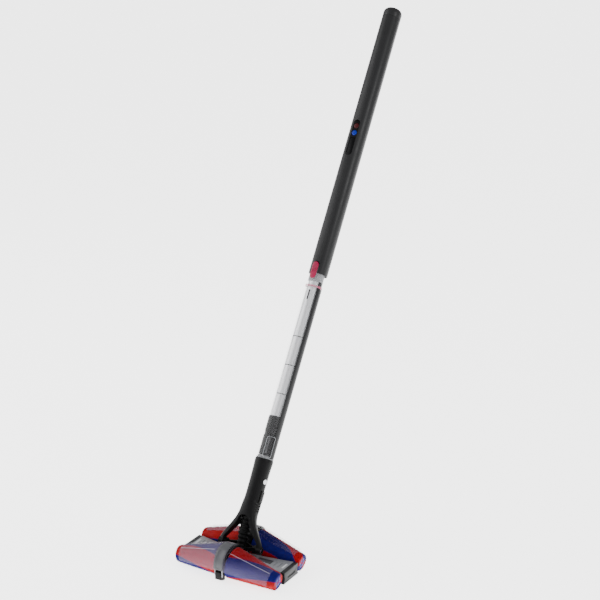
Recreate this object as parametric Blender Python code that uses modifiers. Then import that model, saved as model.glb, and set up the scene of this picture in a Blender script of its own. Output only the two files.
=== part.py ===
"""A slim cordless floor sweeper: four cone rollers, a gimballed neck, a clear bin and a long handle.

Metres, +Z up. X runs along the rollers, +Y points back towards the user. The origin is the middle of
the sweeping head's flat underside, which stands FLOOR_GAP above the floor. Everything above the pivot
is drawn upright about the stick's own axis, then leant back by LEAN through one parent empty.
"""

import math

import bmesh
import bpy
from mathutils import Matrix, Vector

# Driving dimensions
FLOOR_GAP = 0.004
UPRIGHT_HEIGHT = 1.160
LEAN = math.radians(32)
PIVOT_Z = 0.040
GAP = 0.0003

# Rollers: four cones, wide ends together at the middle, lying flat on the floor along their length
ROW_Y = 0.043
CONE_BIG = 0.031
CONE_SMALL = 0.017
CONE_START = 0.0105
CONE_LENGTH = 0.101
CONE_TILT = math.atan((CONE_BIG - CONE_SMALL) / CONE_LENGTH)
CONE_FLOOR_GAP = 0.0002
CONE_Z = CONE_FLOOR_GAP - FLOOR_GAP + CONE_BIG * math.cos(CONE_TILT)
PILE = 0.006
CORE_WALL = 0.0025
SHAFT_BORE = 0.003
CORE_WEB = (0.062, 0.066)
VISOR_GAP = 0.0011
VISOR_WALL = 0.0016
VISOR_START_X = 0.0098
VISOR_END = 0.088
VISOR_ANGLES = (math.radians(-12), math.radians(122))

# Head body
HEAD_HALF = 0.112
TRAY_TOP = 0.016
PLATE_TOP = 0.0228
CAP_LENGTH = 0.009
INLET_X = (0.0035, 0.0340)
INLET_Y = 0.0042
INLET_FLOOR = 0.003
INLET_TOP = 0.0125
HUB_X = 0.0084
HUB_Y = 0.0132
BRIDGE_R = 0.0313
BAND_R = (0.0305, 0.0348)
BAND_HALF = 0.0095
BAND_END = math.radians(128)
BRIDGE_FLOOR = 0.009
TOWER_Y = (0.0172, 0.0235)
TOWER_TOP = 0.0465
TOWER_HALF_X = 0.0055

# Castors
WHEEL_R = 0.005
WHEEL_HALF = 0.0018
CASTOR_TRAIL = 0.0014
CASTOR_R = 0.0060
CASTOR_STEM_R = 0.0025
CASTOR_STEM_TOP = 0.0145
CASTOR_X_SIDE = 0.080
CASTOR_Y_ROW = 0.064

# Gimbal and neck, in stick heights above the pivot
RING_TIP_X = 0.0366
RING_TIP_Y = 0.0160
RING_HOLE_X = 0.0300
RING_HOLE_Y = 0.0130
RING_HALF_Z = 0.0033
PIN_R = 0.0030
ROLL_PIN_R = 0.0022
FOOT_R = 0.0078
FOOT_X = (0.0370, 0.0465)
BELLOWS_R = 0.0088
BELLOWS_BIG = 0.0114
BELLOWS_SWELL = (0.42, 0.55)
NECK_TOP = 0.168
LOWER_Y = -0.0022

# Wand: bin, handle and what is inside them, in stick heights above the pivot
STICK_TOP = UPRIGHT_HEIGHT - PIVOT_Z - FLOOR_GAP
TUBE_R = 0.019
TUBE_WALL = 0.0018
TUBE_BOTTOM = 0.542
CAP_SEAM = STICK_TOP - 0.020
CAP_FILLET = 0.011
BIN_R = 0.0168
BIN_WALL = 0.0015
BIN_TOP = 0.541
SHROUD = (0.2523, 0.5260)
SHROUD_R = 0.0128
SPINE_TURN = (math.radians(-30), math.radians(202))
FLAP_TURN = math.radians(36)
SLOT_MID = 0.827
SLOT_HALF = 0.038
SLOT_R = 0.007
BUTTON_R = 0.0056
POWER_S = 0.8525
MODE_S = 0.8375
DISPLAY_S = (0.7950, 0.8270)
CATCH_S = (0.5300, 0.5640)
CATCH_HALF = 0.0062

COLOURS = {
    "graphite": ((0.060, 0.061, 0.065), 0.42, 0.0),
    "black_plastic": ((0.018, 0.018, 0.019), 0.45, 0.0),
    "head_grey": ((0.330, 0.340, 0.360), 0.40, 0.1),
    "clear_plastic": ((0.800, 0.820, 0.840), 0.08, 0.0),
    "pile_fabric": ((0.600, 0.020, 0.040), 0.85, 0.0),
    "core_plastic": ((0.120, 0.050, 0.250), 0.50, 0.0),
    "red_plastic": ((0.700, 0.015, 0.060), 0.30, 0.0),
    "blue_plastic": ((0.010, 0.120, 0.550), 0.25, 0.0),
    "mesh_metal": ((0.620, 0.630, 0.640), 0.35, 0.9),
    "steel": ((0.560, 0.570, 0.580), 0.30, 1.0),
    "rubber": ((0.015, 0.016, 0.016), 0.80, 0.0),
    "cell_wrap": ((0.050, 0.250, 0.300), 0.50, 0.0),
    "board_green": ((0.020, 0.180, 0.060), 0.55, 0.0),
    "seal_grey": ((0.500, 0.510, 0.520), 0.60, 0.0),
}
SIDES = {"left": -1, "right": 1}
ROWS = {"front": -1, "rear": 1}


# ---------------------------------------------------------------- scene, materials and helpers


def clear_scene():
    for obj in list(bpy.data.objects):
        bpy.data.objects.remove(obj)


def collection(name):
    made = bpy.data.collections.new(name)
    bpy.context.scene.collection.children.link(made)
    return made


def material(name):
    found = bpy.data.materials.get(name)
    if found:
        return found
    made = bpy.data.materials.new(name)
    made.use_nodes = True
    colour, roughness, metallic = COLOURS[name]
    shader = made.node_tree.nodes["Principled BSDF"]
    shader.inputs["Base Color"].default_value = (*colour, 1.0)
    shader.inputs["Roughness"].default_value = roughness
    shader.inputs["Metallic"].default_value = metallic
    return made


def add(name, mesh, finish, parent=None, location=(0, 0, 0), rotation=(0, 0, 0)):
    """A named part of the sweeper. A finish of None makes it a hidden cutter."""
    obj = bpy.data.objects.new(name, mesh)
    (PARTS if finish else CUTTERS).objects.link(obj)
    obj.parent = parent
    obj.location = location
    obj.rotation_euler = rotation
    if finish:
        mesh.materials.append(material(finish))
    else:
        obj.hide_render = True
        obj.display_type = "WIRE"
    return obj


def empty(name, location, rotation=(0, 0, 0), parent=None):
    obj = bpy.data.objects.new(name, None)
    PARTS.objects.link(obj)
    obj.location = location
    obj.rotation_euler = rotation
    obj.parent = parent
    return obj


def mesh_from(bm, name):
    mesh = bpy.data.meshes.new(name)
    bm.to_mesh(mesh)
    bm.free()
    return mesh


def turned(name, profile, finish, parent=None, closed=True, steps=24, **place):
    """Turns (radius, height) points about local Z. The outer side comes first, from top to bottom.

    A closed profile makes a ring; an open one starts and ends on the axis.
    """
    bm = bmesh.new()
    points = [bm.verts.new((r, 0, h)) for r, h in profile]
    for a, b in zip(points, points[1:]):
        bm.edges.new((a, b))
    if closed:
        bm.edges.new((points[-1], points[0]))
    obj = add(name, mesh_from(bm, name), finish, parent, **place)
    screw = obj.modifiers.new("turn", "SCREW")
    screw.axis = "Z"
    screw.steps = screw.render_steps = steps
    screw.use_merge_vertices = True
    screw.merge_threshold = 0.00001
    return obj


def block(name, low, high, finish, parent=None, bevel=0.0, segments=2, **place):
    """A box between two corners, with its edges rounded by bevel."""
    size = Vector(high) - Vector(low)
    middle = (Vector(high) + Vector(low)) / 2
    bm = bmesh.new()
    bmesh.ops.create_cube(bm, size=1, matrix=Matrix.LocRotScale(middle, None, size))
    obj = add(name, mesh_from(bm, name), finish, parent, **place)
    if bevel:
        rounded = obj.modifiers.new("round", "BEVEL")
        rounded.width = bevel
        rounded.segments = segments
    return obj


def rod(name, radius, start, end, finish, parent=None, steps=18):
    """A cylinder from one point to another, in its parent's frame."""
    a, b = Vector(start), Vector(end)
    turn = (b - a).to_track_quat("Z", "Y").to_matrix().to_4x4()
    bm = bmesh.new()
    bmesh.ops.create_cone(
        bm,
        cap_ends=True,
        segments=steps,
        radius1=radius,
        radius2=radius,
        depth=(b - a).length,
        matrix=Matrix.Translation((a + b) / 2) @ turn,
    )
    return add(name, mesh_from(bm, name), finish, parent)


def extruded(name, outlines, low, high, finish, parent=None, **place):
    """A flat outline in XY, with any further outlines as holes, made a solid from low to high in Z."""
    curve = bpy.data.curves.new(name, "CURVE")
    curve.dimensions = "2D"
    curve.fill_mode = "BOTH"
    curve.extrude = (high - low) / 2
    for outline in outlines:
        spline = curve.splines.new("POLY")
        spline.points.add(len(outline) - 1)
        for point, (x, y) in zip(spline.points, outline):
            point.co = (x, y, 0, 1)
        spline.use_cyclic_u = True
    drawn = bpy.data.objects.new(name + "_outline", curve)
    CUTTERS.objects.link(drawn)
    bpy.context.view_layer.update()
    graph = bpy.context.evaluated_depsgraph_get()
    mesh = bpy.data.meshes.new_from_object(drawn.evaluated_get(graph))
    bpy.data.objects.remove(drawn)
    bm = bmesh.new()
    bm.from_mesh(mesh)
    bmesh.ops.remove_doubles(bm, verts=bm.verts, dist=0.000005)
    bmesh.ops.translate(bm, verts=bm.verts, vec=(0, 0, (low + high) / 2))
    bmesh.ops.recalc_face_normals(bm, faces=bm.faces)
    bm.to_mesh(mesh)
    bm.free()
    mesh.materials.clear()
    return add(name, mesh, finish, parent, **place)


def arc(centre, radius, start, end, count):
    """Points on a circle from one angle to another, both ends included."""
    turns = [start + (end - start) * i / (count - 1) for i in range(count)]
    return [(centre[0] + radius * math.cos(a), centre[1] + radius * math.sin(a)) for a in turns]


def obround(half_length, radius, count=9):
    """A slot outline that is long in Y."""
    reach = half_length - radius
    top = arc((0, reach), radius, 0, math.pi, count)
    bottom = arc((0, -reach), radius, math.pi, 2 * math.pi, count)
    return top + bottom


def loft_rings(name, rings, finish, parent=None):
    """A closed solid through rings of equal length, capped at both ends."""
    bm = bmesh.new()
    rows = [[bm.verts.new(point) for point in ring] for ring in rings]
    count = len(rows[0])
    for lower, upper in zip(rows, rows[1:]):
        for i in range(count):
            j = (i + 1) % count
            bm.faces.new((lower[i], lower[j], upper[j], upper[i]))
    bm.faces.new(list(reversed(rows[0])))
    bm.faces.new(rows[-1])
    return add(name, mesh_from(bm, name), finish, parent)


def boolean(obj, other, operation="DIFFERENCE"):
    step = obj.modifiers.new(other.name, "BOOLEAN")
    step.operation = operation
    step.object = other
    return obj


# ---------------------------------------------------------------- sweeping head


def cone_radius(x):
    """Radius of the pile's cone over the head's centre distance x."""
    along = min(max((x - CONE_START) / (HEAD_HALF - CONE_START), 0), 1)
    return CONE_BIG + (CONE_SMALL - CONE_BIG) * along


def room_between_rows(x, z, clearance):
    """Half the free depth between the two rows of cones at this place."""
    radius = cone_radius(abs(x)) + clearance
    height = z - (cone_radius(abs(x)) - FLOOR_GAP)
    return ROW_Y - math.sqrt(max(radius**2 - height**2, (0.3 * radius) ** 2))


def waisted_block(name, low, high, finish, half_length, clearance, count=13):
    """A slab between the rows, whose sides follow the cones at its top and at its foot."""
    reach = half_length - HUB_X - 0.001
    right = [HUB_X + 0.001 + reach * i / (count - 1) for i in range(count)]
    stations = [-x for x in reversed(right)] + [-HUB_X, HUB_X] + right
    rings = []
    for x in stations:
        if abs(x) > HUB_X:
            foot, top = (room_between_rows(x, z, clearance) for z in (low, high))
        else:
            foot = top = HUB_Y
        rings.append([(x, -foot, low), (x, foot, low), (x, top, high), (x, -top, high)])
    return loft_rings(name, rings, finish)


def base_tray():
    tray = waisted_block("base_tray", 0, TRAY_TOP, "black_plastic", HEAD_HALF - CAP_LENGTH, 0.0032)
    well = rod("tray_duct_cutter", 0.0085, (0, 0, INLET_FLOOR), (0, 0, 0.03), None)
    boolean(tray, well)
    for side, sign in SIDES.items():
        near, far = sorted((sign * INLET_X[0], sign * INLET_X[1]))
        inlet = block(
            f"inlet_cutter_{side}", (near, -INLET_Y, -0.01), (far, INLET_Y, INLET_TOP), None
        )
        boolean(tray, inlet)
    for side, sign in SIDES.items():
        x = sign * CASTOR_X_SIDE
        pocket = rod(f"pocket_cutter_{side}", 0.0095, (x, 0, -0.01), (x, 0, BRIDGE_FLOOR), None)
        stem = rod(f"stem_cutter_{side}", CASTOR_STEM_R + GAP, (x, 0, 0), (x, 0, 0.0150), None)
        boolean(boolean(tray, pocket), stem)
    return tray


def top_plate():
    low = TRAY_TOP + GAP
    plate = waisted_block("top_plate", low, PLATE_TOP, "head_grey", HEAD_HALF - CAP_LENGTH, 0.0030)
    well = rod("plate_duct_cutter", 0.0104, (0, 0, 0), (0, 0, 0.03), None)
    return boolean(plate, well)


def end_cap(side, sign):
    """The black end of the head, sloping in towards its foot as the cones do."""
    inner = HEAD_HALF - CAP_LENGTH + GAP
    outline = [(inner, 1), (HEAD_HALF, 1), (HEAD_HALF, -1), (inner, -1)]
    cap = extruded(f"end_cap_{side}", [outline], 0.0004, PLATE_TOP, "black_plastic")
    for vertex in cap.data.vertices:
        x, _, z = vertex.co
        vertex.co.y *= room_between_rows(x, z, 0.0040)
        vertex.co.x *= sign
    if sign < 0:
        cap.data.flip_normals()
    rounded = cap.modifiers.new("round", "BEVEL")
    rounded.width = 0.0012
    rounded.segments = 2
    return cap


def band(row, sign):
    """The raised band over the bridge, between the left and the right visor."""
    start = -math.asin((CONE_Z - BRIDGE_FLOOR) / BAND_R[1]) + 0.001
    rings = []
    for i in range(19):
        angle = start + (BAND_END - 0.02 - start) * i / 18
        ring = []
        for side, radius in ((1, BAND_R[0]), (1, BAND_R[1]), (-1, BAND_R[1]), (-1, BAND_R[0])):
            y, z = ROW_Y + radius * math.cos(angle), CONE_Z + radius * math.sin(angle)
            flank = CONE_START - 0.001 + (z - CONE_Z) * math.tan(CONE_TILT)
            ring.append((sign * side * min(BAND_HALF, flank), sign * y, z))
        rings.append(ring)
    return loft_rings(f"bridge_band_{row}", rings, None)


def bridge(row, sign):
    """The wedge between a left and a right cone: fender, motor mount, castor mount and gimbal tower."""
    centre = (ROW_Y, CONE_Z)
    outer_start = -math.asin((CONE_Z - BRIDGE_FLOOR) / BRIDGE_R)
    fender = arc(centre, BRIDGE_R, outer_start, BAND_END, 21)
    tower = [
        (TOWER_Y[1], fender[-1][1] - 0.0030),
        (TOWER_Y[1], TOWER_TOP),
        (TOWER_Y[0], TOWER_TOP),
        (TOWER_Y[0], 0.0262),
        (0.0135, 0.0232),
        (0.0135, BRIDGE_FLOOR),
    ]
    outline = fender + tower
    body = extruded(f"bridge_{row}", [outline], -1, 1, "head_grey")
    for vertex in body.data.vertices:
        y, z, side = vertex.co
        flank = CONE_START - 0.001 + (z - CONE_Z) * math.tan(CONE_TILT)
        in_tower = y < TOWER_Y[1] + 0.0001 and z > 0.0262 - 0.0001
        half = min(flank, TOWER_HALF_X) if in_tower else flank
        vertex.co = (side * half, sign * y, z)
    if sign > 0:
        body.data.flip_normals()
    boolean(body, band(row, sign), "UNION")
    stem_y = sign * CASTOR_Y_ROW
    stem = rod(
        f"bridge_stem_cutter_{row}", CASTOR_STEM_R + GAP, (0, stem_y, 0), (0, stem_y, 0.0150), None
    )
    pin_start, pin_end = sign * (TOWER_Y[0] - 0.002), sign * (TOWER_Y[1] + 0.002)
    bore = rod(
        f"tower_cutter_{row}",
        ROLL_PIN_R + GAP,
        (0, pin_start, PIVOT_Z),
        (0, pin_end, PIVOT_Z),
        None,
        steps=16,
    )
    boolean(boolean(body, stem), bore)
    return body


def cone_pieces(row, row_sign, side, side_sign):
    """Core, pile sleeve, motor and clear visor of one roller, all on the cone's own axis."""
    name = f"{row}_{side}"
    axis = empty(
        f"roller_axis_{name}",
        (side_sign * CONE_START, row_sign * ROW_Y, CONE_Z),
        (0, side_sign * (math.pi / 2 + CONE_TILT), 0),
    )
    end = CONE_LENGTH
    slope = (CONE_SMALL - CONE_BIG) / CONE_LENGTH

    def pile(t):
        return CONE_BIG + slope * t

    def core(t):
        return pile(t) - PILE - GAP

    def inside(t):
        return core(t) - CORE_WALL

    lip = 0.0022
    turned(
        f"pile_sleeve_{name}",
        [
            (pile(end) - lip, end),
            (pile(end - lip), end - lip),
            (pile(lip), lip),
            (pile(0) - lip, 0),
            (pile(0) - PILE, 0),
            (pile(end) - PILE, end),
        ],
        "pile_fabric",
        axis,
    )
    web_low, web_high = CORE_WEB
    face = end - 0.003
    turned(
        f"roller_core_{name}",
        [
            (core(end), end - 0.0005),
            (core(0), 0.0005),
            (inside(0), 0.0005),
            (inside(web_low), web_low),
            (SHAFT_BORE, web_low),
            (SHAFT_BORE, web_high),
            (inside(web_high), web_high),
            (inside(face), face),
            (SHAFT_BORE, face),
            (SHAFT_BORE, end - 0.0005),
        ],
        "core_plastic",
        axis,
    )
    turned(
        f"brush_motor_{name}",
        [
            (0, 0.070),
            (0.0024, 0.070),
            (0.0024, 0.056),
            (0.0080, 0.056),
            (0.0080, 0.046),
            (0.0122, 0.046),
            (0.0122, -0.0007),
            (0, -0.0007),
        ],
        "steel",
        axis,
        closed=False,
        steps=20,
    )
    visor(name, axis, pile, row_sign, side_sign)


def visor(name, axis, pile, row_sign, side_sign):
    """A thin clear shell over the top and outside of one cone, cut upright where it meets the band."""
    low, high = VISOR_ANGLES
    up = -side_sign
    rings = []
    for i in range(15):
        angle = low + (high - low) * i / 14
        reach = pile(0) + VISOR_GAP
        begin = VISOR_START_X - CONE_START - reach * math.sin(CONE_TILT) * math.sin(angle)
        begin = begin / math.cos(CONE_TILT)
        ring = []
        for t, depth in ((begin, 0), (VISOR_END, 0), (VISOR_END, VISOR_WALL), (begin, VISOR_WALL)):
            radius = pile(t) + VISOR_GAP + depth
            ring.append((up * radius * math.sin(angle), row_sign * radius * math.cos(angle), t))
        if row_sign * up > 0:
            ring.reverse()
        rings.append(ring)
    return loft_rings(f"visor_{name}", rings, "clear_plastic", axis)


def castor(name, x, y):
    """A swivelling yoke with its wheel. The wheel trails a little behind the swivel axis."""
    swivel = empty(f"castor_axis_{name}", (x, y, 0))
    top = BRIDGE_FLOOR - GAP
    yoke = turned(
        f"castor_yoke_{name}",
        [
            (0, CASTOR_STEM_TOP),
            (CASTOR_STEM_R, CASTOR_STEM_TOP),
            (CASTOR_STEM_R, top),
            (CASTOR_R - 0.0008, top),
            (CASTOR_R, top - 0.0012),
            (CASTOR_R, -0.0012),
            (0, -0.0012),
        ],
        "black_plastic",
        swivel,
        closed=False,
        steps=16,
    )
    axle = (0, CASTOR_TRAIL, WHEEL_R - FLOOR_GAP)
    slot = block(
        f"wheel_slot_cutter_{name}",
        (-WHEEL_HALF - 0.0004, -0.010, -0.010),
        (WHEEL_HALF + 0.0004, 0.010, WHEEL_R * 2 - FLOOR_GAP + 0.0005),
        None,
        swivel,
    )
    hole = rod(
        f"axle_cutter_{name}", 0.0012, (-0.01, *axle[1:]), (0.01, *axle[1:]), None, swivel, steps=12
    )
    boolean(boolean(yoke, slot), hole)
    reach = CASTOR_R - 0.0012
    turned(
        f"castor_wheel_{name}",
        [
            (0, reach),
            (0.0009, reach),
            (0.0009, WHEEL_HALF),
            (WHEEL_R - 0.0005, WHEEL_HALF),
            (WHEEL_R, WHEEL_HALF - 0.0006),
            (WHEEL_R, 0.0006 - WHEEL_HALF),
            (WHEEL_R - 0.0005, -WHEEL_HALF),
            (0.0009, -WHEEL_HALF),
            (0.0009, -reach),
            (0, -reach),
        ],
        "rubber",
        swivel,
        closed=False,
        steps=14,
        location=axle,
        rotation=(0, math.pi / 2, 0),
    )


# ---------------------------------------------------------------- gimbal, bellows and neck


def gimbal_ring():
    """A diamond-shaped ring: it rolls on pins at its front and rear, and carries the neck's side pins."""
    outer = [(RING_TIP_X, 0), (0, RING_TIP_Y), (-RING_TIP_X, 0), (0, -RING_TIP_Y)]
    hole = [(RING_HOLE_X, 0), (0, RING_HOLE_Y), (-RING_HOLE_X, 0), (0, -RING_HOLE_Y)]
    low, high = PIVOT_Z - RING_HALF_Z, PIVOT_Z + RING_HALF_Z
    ring = extruded("gimbal_ring", [outer, hole], low, high, "black_plastic")
    for side, sign in SIDES.items():
        near, far = sorted((sign * 0.0285, sign * RING_TIP_X))
        boss = block(
            f"ring_boss_{side}",
            (near, -0.0056, PIVOT_Z - 0.0056),
            (far, 0.0056, PIVOT_Z + 0.0056),
            None,
        )
        boolean(ring, boss, "UNION")
    boolean(ring, rod("ring_pitch_cutter", PIN_R + GAP, (-0.05, 0, PIVOT_Z), (0.05, 0, PIVOT_Z), None))
    roll_start, roll_end = (0, -0.03, PIVOT_Z), (0, 0.03, PIVOT_Z)
    boolean(ring, rod("ring_roll_cutter", ROLL_PIN_R + GAP, roll_start, roll_end, None, steps=16))
    for row, sign in ROWS.items():
        near, far = sign * (RING_HOLE_Y + 0.0004), sign * (TOWER_Y[1] + 0.0006)
        rod(
            f"roll_pin_{row}", ROLL_PIN_R, (0, near, PIVOT_Z), (0, far, PIVOT_Z), "steel", steps=16
        )
    for side, sign in SIDES.items():
        near, far = sign * (RING_HOLE_X + 0.0003), sign * (FOOT_X[1] - 0.0008)
        rod(f"pitch_pin_{side}", PIN_R, (near, 0, PIVOT_Z), (far, 0, PIVOT_Z), "steel", steps=20)


def bellows_path(count):
    """Points from the head's duct, through the pivot, into the leaning neck: an arc between straights."""
    base = Vector((0, 0, 0.0165))
    lean = Vector((0, math.sin(LEAN), math.cos(LEAN)))
    pivot = Vector((0, 0, PIVOT_Z))
    top = pivot + lean * 0.062 + Vector((0, math.cos(LEAN), -math.sin(LEAN))) * LOWER_Y
    corner_low, corner_high = pivot - Vector((0, 0, 0.014)), pivot + lean * 0.014
    points = []
    for i in range(count):
        t = i / (count - 1)
        if t < 0.14:
            points.append(base.lerp(corner_low, t / 0.14))
        elif t < 0.45:
            u = (t - 0.14) / 0.31
            points.append(
                corner_low * (1 - u) ** 2 + pivot * 2 * u * (1 - u) + corner_high * u**2
            )
        else:
            points.append(corner_high.lerp(top, (t - 0.45) / 0.55))
    return points


def duct_bellows():
    """The ribbed hose between head and neck, as one corrugated body."""
    curve = bpy.data.curves.new("duct_bellows", "CURVE")
    curve.dimensions = "3D"
    curve.bevel_depth = BELLOWS_R
    curve.bevel_resolution = 3
    curve.use_fill_caps = True
    points = bellows_path(23)
    spline = curve.splines.new("POLY")
    spline.points.add(len(points) - 1)
    for i, (point, place) in enumerate(zip(spline.points, points)):
        point.co = (*place, 1)
        along = i / (len(points) - 1)
        swell = (along - BELLOWS_SWELL[0]) / (BELLOWS_SWELL[1] - BELLOWS_SWELL[0])
        swell = min(max(swell, 0), 1) * (BELLOWS_BIG / BELLOWS_R - 1)
        point.radius = (1 + swell) * (1.0 if i % 2 else 0.86)
    obj = bpy.data.objects.new("duct_bellows", curve)
    PARTS.objects.link(obj)
    curve.materials.append(material("rubber"))
    return obj


# Height, half width, half depth, axis set-back and squareness of the neck's sections
NECK_SECTIONS = [
    (0.000, 0.0465, 0.0074, 0.0000, 4.0),
    (0.009, 0.0450, 0.0074, -0.0018, 4.0),
    (0.020, 0.0388, 0.0078, -0.0038, 4.0),
    (0.030, 0.0324, 0.0090, -0.0054, 3.6),
    (0.040, 0.0264, 0.0106, -0.0062, 3.2),
    (0.050, 0.0215, 0.0128, -0.0058, 2.8),
    (0.061, 0.0187, 0.0154, -0.0046, 2.4),
    (0.076, 0.0180, 0.0172, -0.0030, 2.1),
    (0.084, 0.0179, 0.0176, -0.0024, 2.0),
    (0.088, 0.0170, 0.0170, LOWER_Y, 2.0),
    (0.110, 0.0168, 0.0168, LOWER_Y, 2.0),
    (0.150, 0.0174, 0.0174, LOWER_Y, 2.0),
    (0.164, 0.0180, 0.0180, LOWER_Y, 2.0),
    (NECK_TOP, 0.0176, 0.0176, LOWER_Y, 2.0),
]


def superellipse(half_x, half_y, power, count):
    points = []
    for i in range(count):
        a = 2 * math.pi * i / count
        c, s = math.cos(a), math.sin(a)
        points.append(
            (
                half_x * math.copysign(abs(c) ** (2 / power), c),
                half_y * math.copysign(abs(s) ** (2 / power), s),
            )
        )
    return points


def loft(name, sections, count, finish, parent):
    """A solid through flat sections of the stick: (height, half x, half y, centre y, squareness)."""
    rings = []
    for height, half_x, half_y, centre_y, power in sections:
        outline = superellipse(half_x, half_y, power, count)
        rings.append([(x, y + centre_y, height) for x, y in outline])
    return loft_rings(name, rings, finish, parent)


def arch_cutter(parent):
    """The opening between the fork's arms, an arch seen from the front."""
    right = [
        (0.0370, -0.020),
        (0.0370, 0.0090),
        (0.0335, 0.0140),
        (0.0285, 0.0205),
        (0.0235, 0.0275),
        (0.0180, 0.0350),
        (0.0128, 0.0430),
    ]
    crown = arc((0, 0.0445), 0.0125, math.radians(10), math.radians(170), 9)
    left = [(-x, z) for x, z in reversed(right)]
    outline = [(x, -z) for x, z in right + crown + left]
    # The outline's second value becomes height once the extrusion stands along Y.
    return extruded(
        "arch_cutter", [outline], -0.05, 0.05, None, parent, rotation=(-math.pi / 2, 0, 0)
    )


def neck_fork(stick):
    neck = loft("neck_fork", NECK_SECTIONS, 24, "black_plastic", stick)
    for side, sign in SIDES.items():
        foot = rod(
            f"foot_{side}", FOOT_R, (sign * FOOT_X[0], 0, 0), (sign * FOOT_X[1], 0, 0), None, stick
        )
        boolean(neck, foot, "UNION")
    boolean(neck, arch_cutter(stick))
    bore_low, bore_high = (0, LOWER_Y, 0.030), (0, LOWER_Y, NECK_TOP + 0.01)
    boolean(neck, rod("neck_bore_cutter", 0.0120, bore_low, bore_high, None, stick))
    pin_a, pin_b = (-0.06, 0, 0), (0.06, 0, 0)
    boolean(neck, rod("foot_bore_cutter", PIN_R + GAP, pin_a, pin_b, None, stick, steps=20))
    pocket = block(
        "release_pocket_cutter", (0.0126, -0.0085, 0.0855), (0.03, 0.0041, 0.1085), None, stick
    )
    boolean(neck, pocket)
    block(
        "head_release_button",
        (0.0152, -0.0080, 0.0860),
        (0.0182, 0.0036, 0.1080),
        "black_plastic",
        stick,
        bevel=0.0010,
    )
    return neck


# ---------------------------------------------------------------- wand: bin side


def lower_wand(stick):
    """Spigot, inlet flap, separator cone, mesh shroud and spine: what stays with the wand inside the bin."""
    at = {"location": (0, LOWER_Y, 0)}
    spigot = turned(
        "inlet_spigot",
        [
            (0.0146, 0.2150),
            (0.0146, 0.1765),
            (0.0112, 0.1757),
            (0.0112, 0.1300),
            (0.0085, 0.1300),
            (0.0085, 0.2150),
        ],
        "graphite",
        stick,
        **at,
    )
    turned_to_flap = {"location": (0, LOWER_Y, 0), "rotation": (0, 0, FLAP_TURN)}
    low_corner, high_corner = (-0.0065, -0.0200, 0.1775), (0.0065, -0.0104, 0.2125)
    recess = block("flap_recess_cutter", low_corner, high_corner, None, stick, **turned_to_flap)
    boolean(spigot, recess)
    low_corner, high_corner = (-0.0060, -0.0135, 0.1780), (0.0060, -0.0107, 0.2120)
    block("inlet_flap", low_corner, high_corner, "graphite", stick, 0.001, **turned_to_flap)
    turned(
        "separator_cone",
        [(0.0148, 0.2515), (0.0148, 0.2215), (0.0136, 0.2153), (0.0075, 0.2153), (0.0075, 0.2515)],
        "graphite",
        stick,
        **at,
    )
    low, high = SHROUD
    turned(
        "mesh_shroud",
        [(SHROUD_R, high), (SHROUD_R, low), (SHROUD_R - 0.001, low), (SHROUD_R - 0.001, high)],
        "mesh_metal",
        stick,
        **at,
    )
    start, end = SPINE_TURN
    outer = arc((0, 0), 0.0149, start, end, 17)
    inner = arc((0, 0), SHROUD_R + GAP, end, start, 17)
    extruded("spine_rail", [outer + inner], low, high, "graphite", stick, **at)
    turned(
        "handle_collar",
        [(0.0149, 0.5600), (0.0149, 0.5264), (0.0118, 0.5264), (0.0118, 0.5600)],
        "graphite",
        stick,
        **at,
    )


def clear_bin(stick):
    """The clear tube that slides down over the spine, and the seal in its foot."""
    at = {"location": (0, LOWER_Y, 0)}
    inner = BIN_R - BIN_WALL
    foot = NECK_TOP + GAP
    turned(
        "clear_bin",
        [
            (BIN_R - 0.0004, BIN_TOP),
            (BIN_R, BIN_TOP - 0.001),
            (BIN_R, 0.2080),
            (BIN_R - 0.0006, 0.2070),
            (BIN_R - 0.0006, foot),
            (inner, foot),
            (inner, BIN_TOP),
        ],
        "clear_plastic",
        stick,
        steps=28,
        **at,
    )
    turned(
        "bin_seal",
        [(inner - GAP, 0.1745), (inner - GAP, foot), (0.0117, foot), (0.0117, 0.1745)],
        "seal_grey",
        stick,
        **at,
    )


# ---------------------------------------------------------------- wand: handle side


def front_slot_cutter(name, half_length, radius, middle, near, far, parent):
    """An obround prism through the handle's front, between two set-backs from its axis."""
    cutter = extruded(name, [obround(half_length, radius)], near, far, None, parent)
    cutter.location = (0, 0, middle)
    cutter.rotation_euler = (math.pi / 2, 0, 0)
    return cutter


def handle_tube(stick):
    inner = TUBE_R - TUBE_WALL
    high = CAP_SEAM - GAP
    tube = turned(
        "handle_tube",
        [(TUBE_R, high), (TUBE_R, TUBE_BOTTOM), (inner, TUBE_BOTTOM), (inner, high)],
        "graphite",
        stick,
        steps=30,
    )
    slot = front_slot_cutter(
        "control_slot_cutter", SLOT_HALF, SLOT_R, SLOT_MID, 0.010, 0.030, stick
    )
    boolean(tube, slot)
    half = CATCH_HALF + 0.0007
    arch = arc((0, 0.5590), half, 0, math.pi, 9)
    outline = [(x, z) for x, z in [(half, 0.5), *arch, (-half, 0.5)]]
    opening = extruded(
        "catch_cutter", [outline], 0.005, 0.030, None, stick, rotation=(math.pi / 2, 0, 0)
    )
    boolean(tube, opening)
    return tube


def handle_cap(stick):
    fillet = arc((TUBE_R - CAP_FILLET, STICK_TOP - CAP_FILLET), CAP_FILLET, math.pi / 2, 0, 6)
    plug = TUBE_R - TUBE_WALL - GAP
    turned(
        "handle_cap",
        [(0, STICK_TOP), *fillet, (TUBE_R, CAP_SEAM), (plug, CAP_SEAM), (plug, CAP_SEAM - 0.010), (0, CAP_SEAM - 0.010)],
        "graphite",
        stick,
        closed=False,
        steps=30,
    )


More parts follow.
